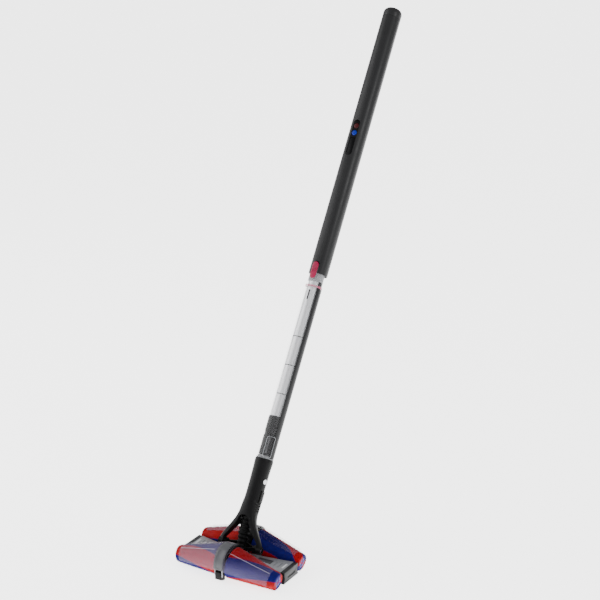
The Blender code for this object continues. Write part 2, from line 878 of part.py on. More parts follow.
def controls(stick):
    """Bezel, power and mode buttons, display lens and board behind the handle's front slot."""
    front = {"rotation": (math.pi / 2, 0, 0)}
    bezel = extruded(
        "control_bezel",
        [obround(SLOT_HALF - 0.0004, SLOT_R - 0.0004)],
        0.0125,
        0.0172,
        "black_plastic",
        stick,
        location=(0, 0, SLOT_MID),
        **front,
    )
    for name, height, finish in (
        ("power_button", POWER_S, "red_plastic"),
        ("mode_button", MODE_S, "blue_plastic"),
    ):
        hole = rod(
            f"{name}_cutter", BUTTON_R + GAP, (0, -0.010, height), (0, -0.025, height), None, stick
        )
        boolean(bezel, hole)
        dome = [(0, 0.0047), (BUTTON_R * 0.6, 0.0044), (BUTTON_R - 0.0004, 0.0036)]
        turned(
            name,
            [*dome, (BUTTON_R, 0.0030), (BUTTON_R, 0), (0, 0)],
            finish,
            stick,
            closed=False,
            steps=24,
            location=(0, -0.0135, height),
            rotation=(math.pi / 2, 0, 0),
        )
    low, high = DISPLAY_S
    window = block(
        "display_cutter", (-0.0050, -0.020, low), (0.0050, -0.0150, high), None, stick
    )
    boolean(bezel, window)
    block(
        "display_lens",
        (-0.0050 + GAP, -0.0170, low + GAP),
        (0.0050 - GAP, -0.0150 - GAP, high - GAP),
        "clear_plastic",
        stick,
        bevel=0.0004,
        segments=1,
    )
    block("control_board", (-0.0110, -0.0095, 0.7800), (0.0110, -0.0080, 0.8720), "board_green", stick)


def handle_insides(stick):
    """Fan motor, impeller, exhaust filter and the three cells in a line."""
    turned(
        "suction_motor",
        [
            (0, 0.664),
            (0.0070, 0.664),
            (0.0070, 0.658),
            (0.0140, 0.654),
            (0.0140, 0.604),
            (0.0040, 0.604),
            (0.0040, 0.600),
            (0, 0.600),
        ],
        "steel",
        stick,
        closed=False,
    )
    impeller(stick)
    turned(
        "exhaust_filter",
        [(0.0165, 0.760), (0.0165, 0.675), (0.0105, 0.675), (0.0105, 0.760)],
        "seal_grey",
        stick,
    )
    length, pitch, first = 0.0650, 0.0680, 0.8790
    for i in range(3):
        low = first + pitch * i
        high = low + length
        turned(
            f"battery_cell_{i + 1}",
            [
                (0, high + 0.0015),
                (0.0035, high + 0.0015),
                (0.0035, high),
                (0.0085, high),
                (0.0092, high - 0.0007),
                (0.0092, low),
                (0, low),
            ],
            "cell_wrap",
            stick,
            closed=False,
            steps=20,
        )


def impeller(stick):
    """A small radial fan: a cone hub with seven flat blades."""
    low, high = 0.5890, 0.5975
    hub = turned(
        "impeller",
        [(0, high), (0.0125, high), (0.0125, high - 0.0012), (0.0042, low), (0, low)],
        "steel",
        stick,
        closed=False,
        steps=21,
    )
    for i in range(7):
        turn = 2 * math.pi * i / 7
        blade = block(
            f"blade_{i + 1}",
            (0.0020, -0.0004, low + 0.0006),
            (0.0118, 0.0004, high - 0.0006),
            None,
            stick,
            rotation=(0, 0, turn),
        )
        boolean(hub, blade, "UNION")
    return hub


def bin_catch(stick):
    """The red thumb catch: a pad in the handle's notch and a tongue over the bin's rim."""
    low, high = CATCH_S
    tongue = extruded(
        "bin_catch",
        [obround((high - low) / 2, CATCH_HALF)],
        -LOWER_Y + BIN_R + GAP,
        -LOWER_Y + BIN_R + 0.0022,
        "red_plastic",
        stick,
        location=(0, 0, (low + high) / 2),
        rotation=(math.pi / 2, 0, 0),
    )
    pad = extruded(
        "catch_pad",
        [obround(0.0088, CATCH_HALF - 0.0006)],
        0.0175,
        0.0200,
        None,
        stick,
        location=(0, 0, high - 0.0094),
        rotation=(math.pi / 2, 0, 0),
    )
    boolean(tongue, pad, "UNION")
    ridge = block(
        "catch_ridge",
        (-0.0045, -0.0228, high - 0.0150),
        (0.0045, -0.0200, high - 0.0132),
        None,
        stick,
    )
    boolean(tongue, ridge, "UNION")
    return tongue


def build():
    base_tray()
    top_plate()
    for side, sign in SIDES.items():
        end_cap(side, sign)
        castor(side, sign * CASTOR_X_SIDE, 0)
    for row, row_sign in ROWS.items():
        bridge(row, row_sign)
        castor(row, 0, row_sign * CASTOR_Y_ROW)
        for side, side_sign in SIDES.items():
            cone_pieces(row, row_sign, side, side_sign)
    gimbal_ring()
    duct_bellows()
    stick = empty("stick_axis", (0, 0, PIVOT_Z), (-LEAN, 0, 0))
    neck_fork(stick)
    lower_wand(stick)
    clear_bin(stick)
    handle_tube(stick)
    handle_cap(stick)
    controls(stick)
    handle_insides(stick)
    bin_catch(stick)


clear_scene()
PARTS = collection("floor_sweeper")
CUTTERS = collection("cutters")
build()
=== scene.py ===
"""The finished look of a slim cordless floor sweeper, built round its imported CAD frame.

Metres, +Z up, in the CAD's own frame: X along the rollers, +Y back towards the user, the origin in the
middle of the head's underside. Pieces of the stick are drawn upright in its own heights above the
pivot, then leant back by STICK.
"""

import math

import bmesh
import bpy
import numpy as np
from mathutils import Matrix, Vector


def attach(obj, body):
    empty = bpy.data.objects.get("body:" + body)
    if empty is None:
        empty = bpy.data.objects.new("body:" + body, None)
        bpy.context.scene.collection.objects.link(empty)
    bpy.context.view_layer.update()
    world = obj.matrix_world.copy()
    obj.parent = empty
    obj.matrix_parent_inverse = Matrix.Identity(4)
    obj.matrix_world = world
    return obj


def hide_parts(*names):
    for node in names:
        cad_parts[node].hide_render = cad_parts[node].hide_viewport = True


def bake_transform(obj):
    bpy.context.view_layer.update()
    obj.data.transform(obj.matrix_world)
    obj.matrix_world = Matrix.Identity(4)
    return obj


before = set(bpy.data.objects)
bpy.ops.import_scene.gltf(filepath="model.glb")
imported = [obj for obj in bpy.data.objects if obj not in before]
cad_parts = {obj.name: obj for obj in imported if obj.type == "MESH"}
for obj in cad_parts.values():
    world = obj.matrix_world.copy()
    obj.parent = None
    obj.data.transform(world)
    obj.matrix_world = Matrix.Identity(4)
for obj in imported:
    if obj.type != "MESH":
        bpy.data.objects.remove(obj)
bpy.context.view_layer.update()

# ---- dimensions
# Most are the CAD's own. The rear band and the spine end earlier than the CAD's do.
FLOOR_Z = -0.004
LEAN = math.radians(32)
PIVOT_Z = 0.04
STICK = Matrix.Translation((0, 0, PIVOT_Z)) @ Matrix.Rotation(-LEAN, 4, "X")
LOWER_Y = -0.0022
LOWER = STICK @ Matrix.Translation((0, LOWER_Y, 0))
FRONT = Matrix.Rotation(math.pi / 2, 4, "X")

ROW_Y = 0.043
CONE_BIG = 0.031
CONE_SMALL = 0.017
CONE_START = 0.0105
CONE_LENGTH = 0.101
CONE_TILT = math.atan((CONE_BIG - CONE_SMALL) / CONE_LENGTH)
CONE_Z = 0.0002 + FLOOR_Z + CONE_BIG * math.cos(CONE_TILT)
PILE = 0.006
TUFTS = 9000
VISOR_GAP = 0.0011
VISOR_WALL = 0.0016
VISOR_START_X = 0.0098
VISOR_END = 0.088
# Where round each hood its light strip lies: a painted highlight line
GLINT_STRIP_TURN = math.radians(58)
VISOR_ANGLES = (math.radians(-12), math.radians(122))
HEAD_HALF = 0.112
TRAY_TOP = 0.016
PLATE_TOP = 0.0228
CAP_LENGTH = 0.009
HUB_X = 0.0084
HUB_Y = 0.0132
BRIDGE_R = 0.0313
BAND_R = (0.0305, 0.0348)
BAND_HALF = 0.0095
BAND_END = {"front": math.radians(126), "rear": math.radians(92)}
BAND_FOOT = 0.0235
BRIDGE_FLOOR = 0.009
LAMP_ANGLE = -0.33
TOWER_Y = (0.0172, 0.0235)
TOWER_TOP = 0.0465
TOWER_HALF_X = 0.0055
WHEEL_R = 0.005
CASTOR_TRAIL = 0.0014
BELLOWS_R = 0.0088
BELLOWS_BIG = 0.0114
BELLOWS_SWELL = (0.42, 0.55)
NECK_TOP = 0.168
STICK_TOP = 1.116
TUBE_R = 0.019
TUBE_WALL = 0.0018
TUBE_BOTTOM = 0.542
CAP_SEAM = STICK_TOP - 0.02
BIN_R = 0.0168
BIN_WALL = 0.0015
BIN_TOP = 0.541
SHROUD = (0.2523, 0.526)
SHROUD_R = 0.0128
SHROUD_BANDS = (0.4124, 0.3544, 0.2964)
# Turns of the light strips on the screen, which are painted highlights
SHROUD_GLINT_DEGREES = (-78, -49, -40)
# Heights of the rose band on the bin, a painted reflection of the red catch
CATCH_REFLECTION_BAND = (0.5142, 0.5178)
FOOT_RING = (0.169, 0.1704)
SPIGOT_DOOR = (0.1775, 0.2125)
WINDOW_MID = 0.1915
PORT_S = 0.23
NECK_SEAM = (0.1245, 0.1251)
NECK_MARK_S = 0.126
NECK_MARK_TURN = math.radians(-9)
VENT_LOW = 0.0675
VENT_PITCH = 0.0048
VENT_DEGREES = 14
SPINE_TURN = (math.radians(-30), math.radians(172))
FLAP_TURN = math.radians(36)
BIN_BACK = (math.radians(-34), math.radians(172))
BIN_BACK_TOP = 0.513
SLOT_MID = 0.827
SLOT_HALF = 0.038
SLOT_R = 0.007
BUTTON_R = 0.0056
POWER_S = 0.8525
MODE_S = 0.8375
DISPLAY_S = (0.795, 0.827)
CATCH_S = (0.53, 0.564)
CATCH_HALF = 0.0062
EYE = (1.3057, -1.9626, 1.2647)
EYE_YAW = math.radians(30.9)
EYE_PITCH = math.radians(17.42)
LENS = 82.95
FLOOR_GLOW = 3.0
WORLD_GLOW = 0.9
SIDES = {"left": -1, "right": 1}
ROWS = {"front": -1, "rear": 1}


# ---- mesh helpers


def linked(name, data):
    obj = bpy.data.objects.new(name, data)
    bpy.context.scene.collection.objects.link(obj)
    return obj


def new_object(bm, name, matrix=None):
    bmesh.ops.recalc_face_normals(bm, faces=bm.faces)
    if matrix is not None:
        bmesh.ops.transform(bm, matrix=matrix, verts=bm.verts)
        if matrix.determinant() < 0:
            bmesh.ops.reverse_faces(bm, faces=bm.faces)
    mesh = bpy.data.meshes.new(name)
    bm.to_mesh(mesh)
    bm.free()
    return linked(name, mesh)


def bake_down(obj):
    """Turns an object's modifiers into its mesh."""
    bpy.context.view_layer.update()
    graph = bpy.context.evaluated_depsgraph_get()
    mesh = bpy.data.meshes.new_from_object(obj.evaluated_get(graph))
    obj.modifiers.clear()
    obj.data = mesh
    return obj


def cut(obj, cutter, operation="DIFFERENCE"):
    step = obj.modifiers.new("cut", "BOOLEAN")
    step.operation = operation
    step.object = cutter
    bake_down(obj)
    bpy.data.objects.remove(cutter)
    return obj


def join(obj, *others):
    """Adds other objects' meshes to one, as separate shells of the same piece."""
    bm = bmesh.new()
    for each in (obj, *others):
        bm.from_mesh(each.data)
    bm.to_mesh(obj.data)
    bm.free()
    for each in others:
        bpy.data.objects.remove(each)
    return obj


def rounded(obj, width, segments=3, angle=30):
    bevel = obj.modifiers.new("round", "BEVEL")
    bevel.width = width
    bevel.segments = segments
    bevel.limit_method = "ANGLE"
    bevel.angle_limit = math.radians(angle)
    return bake_down(obj)


def smooth(obj, angle=32):
    obj.data.shade_smooth()
    obj.data.set_sharp_from_angle(angle=math.radians(angle))
    return obj


def soften(points, radius, count=4, closed=True):
    """Rounds each corner of an outline."""
    made = []
    total = len(points)
    for i, here in enumerate(points):
        if not closed and i in (0, total - 1):
            made.append(here)
            continue
        p = Vector(here)
        a, b = Vector(points[i - 1]) - p, Vector(points[(i + 1) % total]) - p
        reach = min(radius, a.length * 0.45, b.length * 0.45)
        start, end = p + a.normalized() * reach, p + b.normalized() * reach
        for k in range(count + 1):
            t = k / count
            made.append(tuple(start * (1 - t) ** 2 + p * 2 * t * (1 - t) + end * t**2))
    return made


def lathe(name, profile, matrix, steps=96, closed=True, radius=0.0004):
    """Turns a softened outline of (radius, height) points about local Z."""
    if radius:
        profile = soften(profile, radius, closed=closed)
    bm = bmesh.new()
    rings = []
    for r, h in profile:
        if r < 1e-9:
            rings.append([bm.verts.new((0, 0, h))] * steps)
            continue
        turns = [2 * math.pi * i / steps for i in range(steps)]
        rings.append([bm.verts.new((r * math.cos(a), r * math.sin(a), h)) for a in turns])
    pairs = list(zip(rings, rings[1:]))
    if closed:
        pairs.append((rings[-1], rings[0]))
    for a, b in pairs:
        for i in range(steps):
            j = (i + 1) % steps
            corners = list(dict.fromkeys((a[i], a[j], b[j], b[i])))
            if len(corners) > 2:
                bm.faces.new(corners)
    return smooth(new_object(bm, name, matrix))


def tube(name, outer, inner, low, high, matrix, steps=96, radius=0.0004):
    """A ring or sleeve about local Z, between two radii and two heights."""
    profile = [(outer, high), (outer, low), (inner, low), (inner, high)]
    return lathe(name, profile, matrix, steps, radius=radius)


def prism(name, outline, low, high, matrix, bevel=0.0, segments=3):
    """An outline in XY made a solid from low to high in Z."""
    bm = bmesh.new()
    bottom = [bm.verts.new((x, y, low)) for x, y in outline]
    top = [bm.verts.new((x, y, high)) for x, y in outline]
    count = len(outline)
    bm.faces.new(bottom)
    bm.faces.new(top)
    for i in range(count):
        j = (i + 1) % count
        bm.faces.new((bottom[i], bottom[j], top[j], top[i]))
    obj = new_object(bm, name, matrix)
    if bevel:
        rounded(obj, bevel, segments)
    return smooth(obj)


def box(name, low, high, matrix, bevel=0.0, segments=3):
    outline = [(low[0], low[1]), (high[0], low[1]), (high[0], high[1]), (low[0], high[1])]
    return prism(name, outline, low[2], high[2], matrix, bevel, segments)


def rod(name, radius, start, end, matrix=None, steps=48, bevel=0.0):
    a, b = Vector(start), Vector(end)
    turn = (b - a).to_track_quat("Z", "Y").to_matrix().to_4x4()
    place = Matrix.Translation(a) @ turn
    if matrix is not None:
        place = matrix @ place
    length = (b - a).length
    profile = [(0, length), (radius, length), (radius, 0), (0, 0)]
    return lathe(name, profile, place, steps, closed=False, radius=bevel)


def drill(obj, radius, start, end, matrix=None, steps=48):
    return cut(obj, rod("cutter", radius, start, end, matrix, steps))


def loft(name, rings, matrix=None):
    bm = bmesh.new()
    rows = [[bm.verts.new(point) for point in ring] for ring in rings]
    count = len(rows[0])
    for lower, upper in zip(rows, rows[1:]):
        for i in range(count):
            j = (i + 1) % count
            bm.faces.new((lower[i], lower[j], upper[j], upper[i]))
    bm.faces.new(rows[0])
    bm.faces.new(rows[-1])
    return smooth(new_object(bm, name, matrix))


def arc(centre, radius, start, end, count):
    turns = [start + (end - start) * i / (count - 1) for i in range(count)]
    return [(centre[0] + radius * math.cos(a), centre[1] + radius * math.sin(a)) for a in turns]


def obround(half_length, radius, count=17):
    reach = half_length - radius
    top = arc((0, reach), radius, 0, math.pi, count)
    bottom = arc((0, -reach), radius, math.pi, 2 * math.pi, count)
    return top + bottom


def obround_rect(half_x, half_y, radius, count=9):
    """A rectangle with round corners."""
    x, y = half_x - radius, half_y - radius
    made = []
    for i, corner in enumerate(((x, y), (-x, y), (-x, -y), (x, -y))):
        made += arc(corner, radius, i * math.pi / 2, (i + 1) * math.pi / 2, count)
    return made


def wrap(obj, radius, height, turn):
    """Bends a flat XY drawing round the lower stick: X round it from its front, Y up it, Z outwards."""
    bm = bmesh.new()
    bm.from_mesh(obj.data)
    long_edges = [e for e in bm.edges if e.calc_length() > 0.002]
    bmesh.ops.subdivide_edges(bm, edges=long_edges, cuts=3, use_grid_fill=False)
    for vertex in bm.verts:
        x, y, z = vertex.co
        a = -math.pi / 2 + x / radius + turn
        r = radius + z
        vertex.co = LOWER @ Vector((r * math.cos(a), r * math.sin(a), y + height))
    bmesh.ops.recalc_face_normals(bm, faces=bm.faces)
    bm.to_mesh(obj.data)
    bm.free()
    return obj


def front_place(height, y=0.0):
    """Stands local XY up on the stick's front: local Y runs up the stick, local Z out of its front."""
    return STICK @ Matrix.Translation((0, y, height)) @ FRONT


# ---- materials


def shader_of(name):
    made = bpy.data.materials.new(name)
    made.use_nodes = True
    tree = made.node_tree
    return made, tree, tree.nodes["Principled BSDF"]


def fill(node, **values):
    """Sets a node's inputs, whose names are given with underscores for spaces."""
    for key, value in values.items():
        node.inputs[key.replace("_", " ")].default_value = value


def noise(tree, scale, detail=4.0, stretch=(1, 1, 1)):
    where = tree.nodes.new("ShaderNodeTexCoord")
    mapping = tree.nodes.new("ShaderNodeMapping")
    fill(mapping, Scale=stretch)
    tree.links.new(where.outputs["Object"], mapping.inputs["Vector"])
    field = tree.nodes.new("ShaderNodeTexNoise")
    fill(field, Scale=scale, Detail=detail)
    tree.links.new(mapping.outputs["Vector"], field.inputs["Vector"])
    return field.outputs["Fac"]


def spread(tree, value, low, high):
    """Maps a 0 to 1 field to a range of numbers."""
    ramp = tree.nodes.new("ShaderNodeMapRange")
    fill(ramp, From_Min=0.3, From_Max=0.7, To_Min=low, To_Max=high)
    tree.links.new(value, ramp.inputs["Value"])
    return ramp.outputs["Result"]


def two_tone(tree, value, positions, colours):
    """Maps a 0 to 1 field to a ramp between two colours."""
    ramp = tree.nodes.new("ShaderNodeValToRGB")
    for element, position, colour in zip(ramp.color_ramp.elements, positions, colours):
        element.position = position
        element.color = (*colour, 1)
    tree.links.new(value, ramp.inputs["Fac"])
    return ramp.outputs["Color"]


def tinted(tree, value, colour, vary):
    """Maps a 0 to 1 field to tones a little darker and lighter than a colour."""
    dark = [c * (1 - vary) for c in colour]
    light = [min(1, c * (1 + vary)) for c in colour]
    return two_tone(tree, value, (0.3, 0.7), (dark, light))


def relief(tree, shader, height, distance, strength):
    bump = tree.nodes.new("ShaderNodeBump")
    fill(bump, Distance=distance, Strength=strength)
    tree.links.new(height, bump.inputs["Height"])
    tree.links.new(bump.outputs["Normal"], shader.inputs["Normal"])


def plastic(
    name, colour, roughness, metallic=0.0, grain=900.0, depth=0.00003, vary=0.1, coat=0.0, specular=0.5,
    stretch=(1, 1, 1), wear=0.05
):
    """Moulded or metal surface: uneven tone, uneven gloss and a fine grain in relief."""
    made, tree, shader = shader_of(name)
    broad = noise(tree, 14.0, 3.0)
    fine = noise(tree, grain, 2.0, stretch)
    tree.links.new(tinted(tree, broad, colour, vary), shader.inputs["Base Color"])
    low, high = max(roughness - wear, 0.02), roughness + wear
    tree.links.new(spread(tree, noise(tree, 60.0), low, high), shader.inputs["Roughness"])
    fill(shader, Metallic=metallic, Coat_Weight=coat, Coat_Roughness=0.12, Specular_IOR_Level=specular)
    relief(tree, shader, fine, depth, 0.6)
    return made


def clear(name, low_colour, high_colour, roughness, cover, gloss):
    """Thin clear plastic: mostly see-through, with a bloom in its base colour that can change with height.
    On the visors and the bin's rose band this bloom is a painted reflection.
    """
    made, tree, shader = shader_of(name)
    where = tree.nodes.new("ShaderNodeTexCoord")
    split = tree.nodes.new("ShaderNodeSeparateXYZ")
    tree.links.new(where.outputs["Generated"], split.inputs["Vector"])
    # The bloom from its low colour to its high colour up the piece; on the visors it is a painted
    # reflection haze
    tone = two_tone(tree, split.outputs["Z"], (0.35, 0.75), (low_colour, high_colour))
    tree.links.new(tone, shader.inputs["Base Color"])
    tree.links.new(spread(tree, noise(tree, 30.0), roughness, roughness + 0.04), shader.inputs["Roughness"])
    fill(shader, Alpha=cover, Specular_IOR_Level=gloss)
    relief(tree, shader, noise(tree, 120.0, 1.0), 0.000002, 0.2)
    return made


def pile_material(name):
    """Soft bristles that take their red or blue from the mesh's own tint, which carries painted shade at
    the root.
    """
    made, tree, shader = shader_of(name)
    tint = tree.nodes.new("ShaderNodeAttribute")
    tint.attribute_name = "tint"
    mix = tree.nodes.new("ShaderNodeMix")
    mix.data_type = "RGBA"
    mix.blend_type = "MULTIPLY"
    fill(mix, Factor=1.0)
    shade = tinted(tree, noise(tree, 420.0, 3.0), (0.78, 0.78, 0.8), 0.25)
    tree.links.new(tint.outputs["Color"], mix.inputs[6])
    tree.links.new(shade, mix.inputs[7])
    tree.links.new(mix.outputs[2], shader.inputs["Base Color"])
    tree.links.new(spread(tree, noise(tree, 90.0), 0.55, 0.8), shader.inputs["Roughness"])
    fill(shader, Sheen_Weight=0.06, Sheen_Roughness=0.4, Specular_IOR_Level=0.12)
    relief(tree, shader, noise(tree, 700.0, 2.0), 0.0004, 0.5)
    return made


def mesh_screen(name):
    """Fine woven metal: rows of small holes in relief and in tone."""
    made, tree, shader = shader_of(name)
    where = tree.nodes.new("ShaderNodeTexCoord")
    cells = tree.nodes.new("ShaderNodeTexVoronoi")
    fill(cells, Scale=850.0, Randomness=0.15)
    tree.links.new(where.outputs["Object"], cells.inputs["Vector"])
    hole, wire = (0.36, 0.36, 0.38), (0.66, 0.66, 0.68)
    tone = two_tone(tree, cells.outputs["Distance"], (0.2, 0.42), (hole, wire))
    tree.links.new(tone, shader.inputs["Base Color"])
    tree.links.new(spread(tree, noise(tree, 80.0), 0.3, 0.42), shader.inputs["Roughness"])
    fill(shader, Metallic=0.55)
    relief(tree, shader, cells.outputs["Distance"], 0.0002, 0.7)
    return made


FINISHES = {
    "graphite": plastic(
        "graphite_satin", (0.0095, 0.0095, 0.0102), 0.38, grain=1500, vary=0.06, specular=0.2
    ),
    "graphite_dark": plastic("graphite_deep", (0.004, 0.004, 0.0045), 0.36, grain=1500, specular=0.16),
    "black": plastic("black_moulded", (0.003, 0.003, 0.0033), 0.44, grain=1200, specular=0.12),
    "black_gloss": plastic(
        "black_gloss", (0.0012, 0.0012, 0.0016), 0.28, grain=200, depth=0.000004, specular=0.08
    ),
    "rubber": plastic(
        "bellows_rubber", (0.0018, 0.0018, 0.002), 0.55, grain=800, depth=0.00006, specular=0.1
    ),
    "head_grey": plastic("head_grey", (0.2, 0.205, 0.22), 0.34, 0.3, grain=1500, vary=0.08),
    "head_dark": plastic("head_dark", (0.03, 0.031, 0.036), 0.32, 0.2, grain=1500, specular=0.4),
    "cap_dark": plastic("cap_dark", (0.011, 0.011, 0.012), 0.36, grain=1200, specular=0.18),
    "band_grey": plastic("band_grey", (0.06, 0.062, 0.068), 0.38, grain=1500, specular=0.3),
    "light_grey": plastic("light_grey", (0.55, 0.56, 0.58), 0.32, 0.3),
    "flap_grey": plastic("flap_grey", (0.045, 0.045, 0.048), 0.4, specular=0.3),
    "shroud_glint_grey": plastic("shroud_glint_grey", (0.33, 0.335, 0.35), 0.4, 0.4),
    "bin_grey": plastic("bin_grey", (0.16, 0.16, 0.17), 0.42),
    "red": plastic("red_moulded", (0.22, 0.0008, 0.034), 0.34, specular=0.25),
    "power_red": plastic("power_red", (0.03, 0.0008, 0.002), 0.34, specular=0.15),
    "blue": plastic("blue_moulded", (0.001, 0.01, 0.2), 0.34, specular=0.15),
    "steel": plastic("brushed_steel", (0.5, 0.51, 0.52), 0.28, 1.0, grain=500, stretch=(1, 12, 1)),
    "wheel": plastic("wheel_rubber", (0.006, 0.006, 0.007), 0.6, grain=700, specular=0.2),
    "hub_light": plastic("hub_light", (0.3, 0.31, 0.33), 0.35, 0.4),
    "core": plastic("core_violet", (0.02, 0.01, 0.15), 0.42),
    "bin_back": plastic("bin_back", (0.011, 0.011, 0.012), 0.36, grain=1500, specular=0.15),
    "cell": plastic("cell_wrap", (0.03, 0.2, 0.26), 0.35, grain=400, coat=0.3),
    "board": plastic("board_green", (0.01, 0.11, 0.04), 0.4, grain=300, vary=0.3),
    "seal": plastic("seal_grey", (0.2, 0.2, 0.21), 0.65, grain=600),
    "filter": plastic("filter_media", (0.55, 0.56, 0.58), 0.9, grain=300, depth=0.0002),
    "white": plastic("white_dot", (0.85, 0.86, 0.88), 0.3),
    "screen": mesh_screen("mesh_screen"),
    "pile": pile_material("pile_red_blue"),
    # The visors' bloom is a painted reflection haze: even on the left visors; on the right ones lavender
    # low down, where the floor would reflect, and almost none at the top
    "visor_left": clear("visor_clear_painted_haze_left", (0.34, 0.29, 0.38), (0.34, 0.29, 0.38), 0.35, 0.12, 0.3),
    "visor_right": clear("visor_clear_painted_haze_right", (0.32, 0.28, 0.42), (0.02, 0.01, 0.02), 0.35, 0.09, 0.2),
    # The light tone of the strip along each visor, which is a painted highlight
    "visor_painted_glint": plastic("visor_painted_glint", (0.36, 0.33, 0.4), 0.2),
    # Rose tone of the band under the catch: a painted reflection of the red catch
    "bin_rim": clear("bin_painted_catch_reflection", (0.5, 0.1, 0.18), (0.5, 0.1, 0.18), 0.35, 0.4, 0.3),
    "bin": clear("bin_clear", (0.3, 0.3, 0.31), (0.3, 0.3, 0.31), 0.35, 0.04, 0.0),
}


def piece(obj, body, slot, finish, *nodes):
    """Gives a visible piece its material, sets it to move with its body and hides the CAD nodes it stands
    for.
    """
    obj.data.materials.clear()
    obj.data.materials.append(FINISHES[finish])
    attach(obj, body)
    if nodes:
        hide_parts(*nodes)
    return obj


def refinish(node, finish):
    """Gives a carried-over CAD node its own procedural finish."""
    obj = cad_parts[node]
    obj.data.materials.clear()
    obj.data.materials.append(FINISHES[finish])


# ---- sweeping head


def cone_radius(x):
    along = min(max((x - CONE_START) / (HEAD_HALF - CONE_START), 0), 1)
    return CONE_BIG + (CONE_SMALL - CONE_BIG) * along


def room_between_rows(x, z, clearance):
    radius = cone_radius(abs(x)) + clearance
    height = z - (cone_radius(abs(x)) + FLOOR_Z)
    return ROW_Y - math.sqrt(max(radius**2 - height**2, (0.3 * radius) ** 2))


def plate_rings(low, high, clearance, inset=0.0, count=25):
    half = HEAD_HALF - CAP_LENGTH - inset
    reach = half - HUB_X - 0.001
    right = [HUB_X + 0.001 + reach * i / (count - 1) for i in range(count)]
    rings = []
    for x in [-x for x in reversed(right)] + [-HUB_X, HUB_X] + right:
        if abs(x) > HUB_X:
            foot, top = (room_between_rows(x, z, clearance) - inset for z in (low, high))
        else:
            foot = top = HUB_Y - inset
        rings.append([(x, -foot, low), (x, foot, low), (x, top, high), (x, -top, high)])
    return rings


def top_plate():
    low = TRAY_TOP + 0.0003
    plate = loft("top_plate_shell", plate_rings(low, PLATE_TOP, 0.003))
    drill(plate, 0.0104, (0, 0, 0), (0, 0, 0.03))
    for sign in (-1, 1):
        for x, half in ((0.088, 0.0105), (0.0785, 0.0085)):
            low_corner = (sign * x - 0.0011, -half, PLATE_TOP - 0.0016)
            high_corner = (sign * x + 0.0011, half, PLATE_TOP + 0.01)
            cut(plate, box("cutter", low_corner, high_corner, Matrix(), 0.0008))
    rounded(plate, 0.0009, 3, 40)
    piece(smooth(plate), "head", "head_grey", "head_grey", "top_plate")
    for side, sign in SIDES.items():
        x = sign * 0.0975
        low_corner = (x - 0.0016, -0.009, PLATE_TOP - 0.0004)
        high_corner = (x + 0.0016, 0.009, PLATE_TOP + 0.0006)
        bar = box(f"plate_light_bar_{side}", low_corner, high_corner, Matrix(), 0.0004)
        piece(bar, "head", "head_grey", "light_grey")
        ridge_rings = []
        low, high = PLATE_TOP - 0.0003, PLATE_TOP + 0.001
        for i in range(13):
            x = sign * (0.04 + 0.03 * i / 12)
            half = room_between_rows(x, PLATE_TOP, 0.003) * 0.42
            crest = half - 0.001
            ridge_rings.append([(x, -half, low), (x, half, low), (x, crest, high), (x, -crest, high)])
        ridge = loft(f"plate_rib_{side}", ridge_rings)
        rounded(ridge, 0.0005, 2, 40)
        piece(smooth(ridge), "head", "head_grey", "head_dark")


def end_caps():
    inner = HEAD_HALF - CAP_LENGTH + 0.0003
    foot, belt = 0.0004, 0.009
    for side, sign in SIDES.items():
        rings = []
        for x in (inner, HEAD_HALF):
            ring = []
            for z, way in ((foot, -1), (foot, 1), (belt, 1), (PLATE_TOP, 1), (PLATE_TOP, -1), (belt, -1)):
                ring.append((sign * x, way * room_between_rows(x, z, 0.004), z))
            rings.append(ring)
        cap = loft(f"end_cap_shell_{side}", rings)
        x = sign * HEAD_HALF
        slot = box("cutter", (x - 0.0012, -0.0125, 0.0085), (x + 0.0012, 0.0125, 0.0125), Matrix(), 0.0005)
        cut(cap, slot)
        rounded(cap, 0.0011, 4, 40)
        piece(smooth(cap), "head", "black_plastic", "cap_dark", f"end_cap_{side}")


def band_rings(sign, low, high, half, foot, end, count=40):
    """Sections along an arc over the bridge: each is a strip from side to side, low to high in radius."""
    start = -math.asin((CONE_Z - foot) / high)
    rings = []
    for i in range(count):
        angle = start + (end - start) * i / (count - 1)
        ring = []
        for side, radius in ((1, low), (1, high), (-1, high), (-1, low)):
            y, z = ROW_Y + radius * math.cos(angle), CONE_Z + radius * math.sin(angle)
            flank = CONE_START - 0.001 + (z - CONE_Z) * math.tan(CONE_TILT)
            ring.append((sign * side * min(half, flank), sign * y, z))
        rings.append(ring)
    return rings


def bridge_body(row, sign):
    centre = (ROW_Y, CONE_Z)
    outer_start = -math.asin((CONE_Z - BRIDGE_FLOOR) / BRIDGE_R)
    fender = arc(centre, BRIDGE_R, outer_start, math.radians(128), 45)
    outline = fender + [
        (TOWER_Y[1], fender[-1][1] - 0.003),
        (TOWER_Y[1], TOWER_TOP),
        (TOWER_Y[0], TOWER_TOP),
        (TOWER_Y[0], 0.0262),
        (0.0135, 0.0232),
        (0.0135, BRIDGE_FLOOR),
    ]
    bm = bmesh.new()
    rows = []
    for side in (-1, -0.5, 0, 0.5, 1):
        points = []
        for y, z in outline:
            flank = CONE_START - 0.001 + (z - CONE_Z) * math.tan(CONE_TILT)
            in_tower = y < TOWER_Y[1] + 0.0001 and z > 0.0261
            half = min(flank, TOWER_HALF_X) if in_tower else flank
            points.append(bm.verts.new((side * half, sign * y, z)))
        rows.append(points)
    for a, b in zip(rows, rows[1:]):
        for i in range(len(a)):
            j = (i + 1) % len(a)
            bm.faces.new((a[i], a[j], b[j], b[i]))
    bm.faces.new(rows[0])
    bm.faces.new(rows[-1])
    body = new_object(bm, f"bridge_shell_{row}")
    drill(body, 0.0028, (0, sign * 0.064, 0), (0, sign * 0.064, 0.015))
    drill(body, 0.0025, (0, sign * 0.014, PIVOT_Z), (0, sign * 0.026, PIVOT_Z))
    rounded(body, 0.0007, 3, 45)
    return smooth(body)


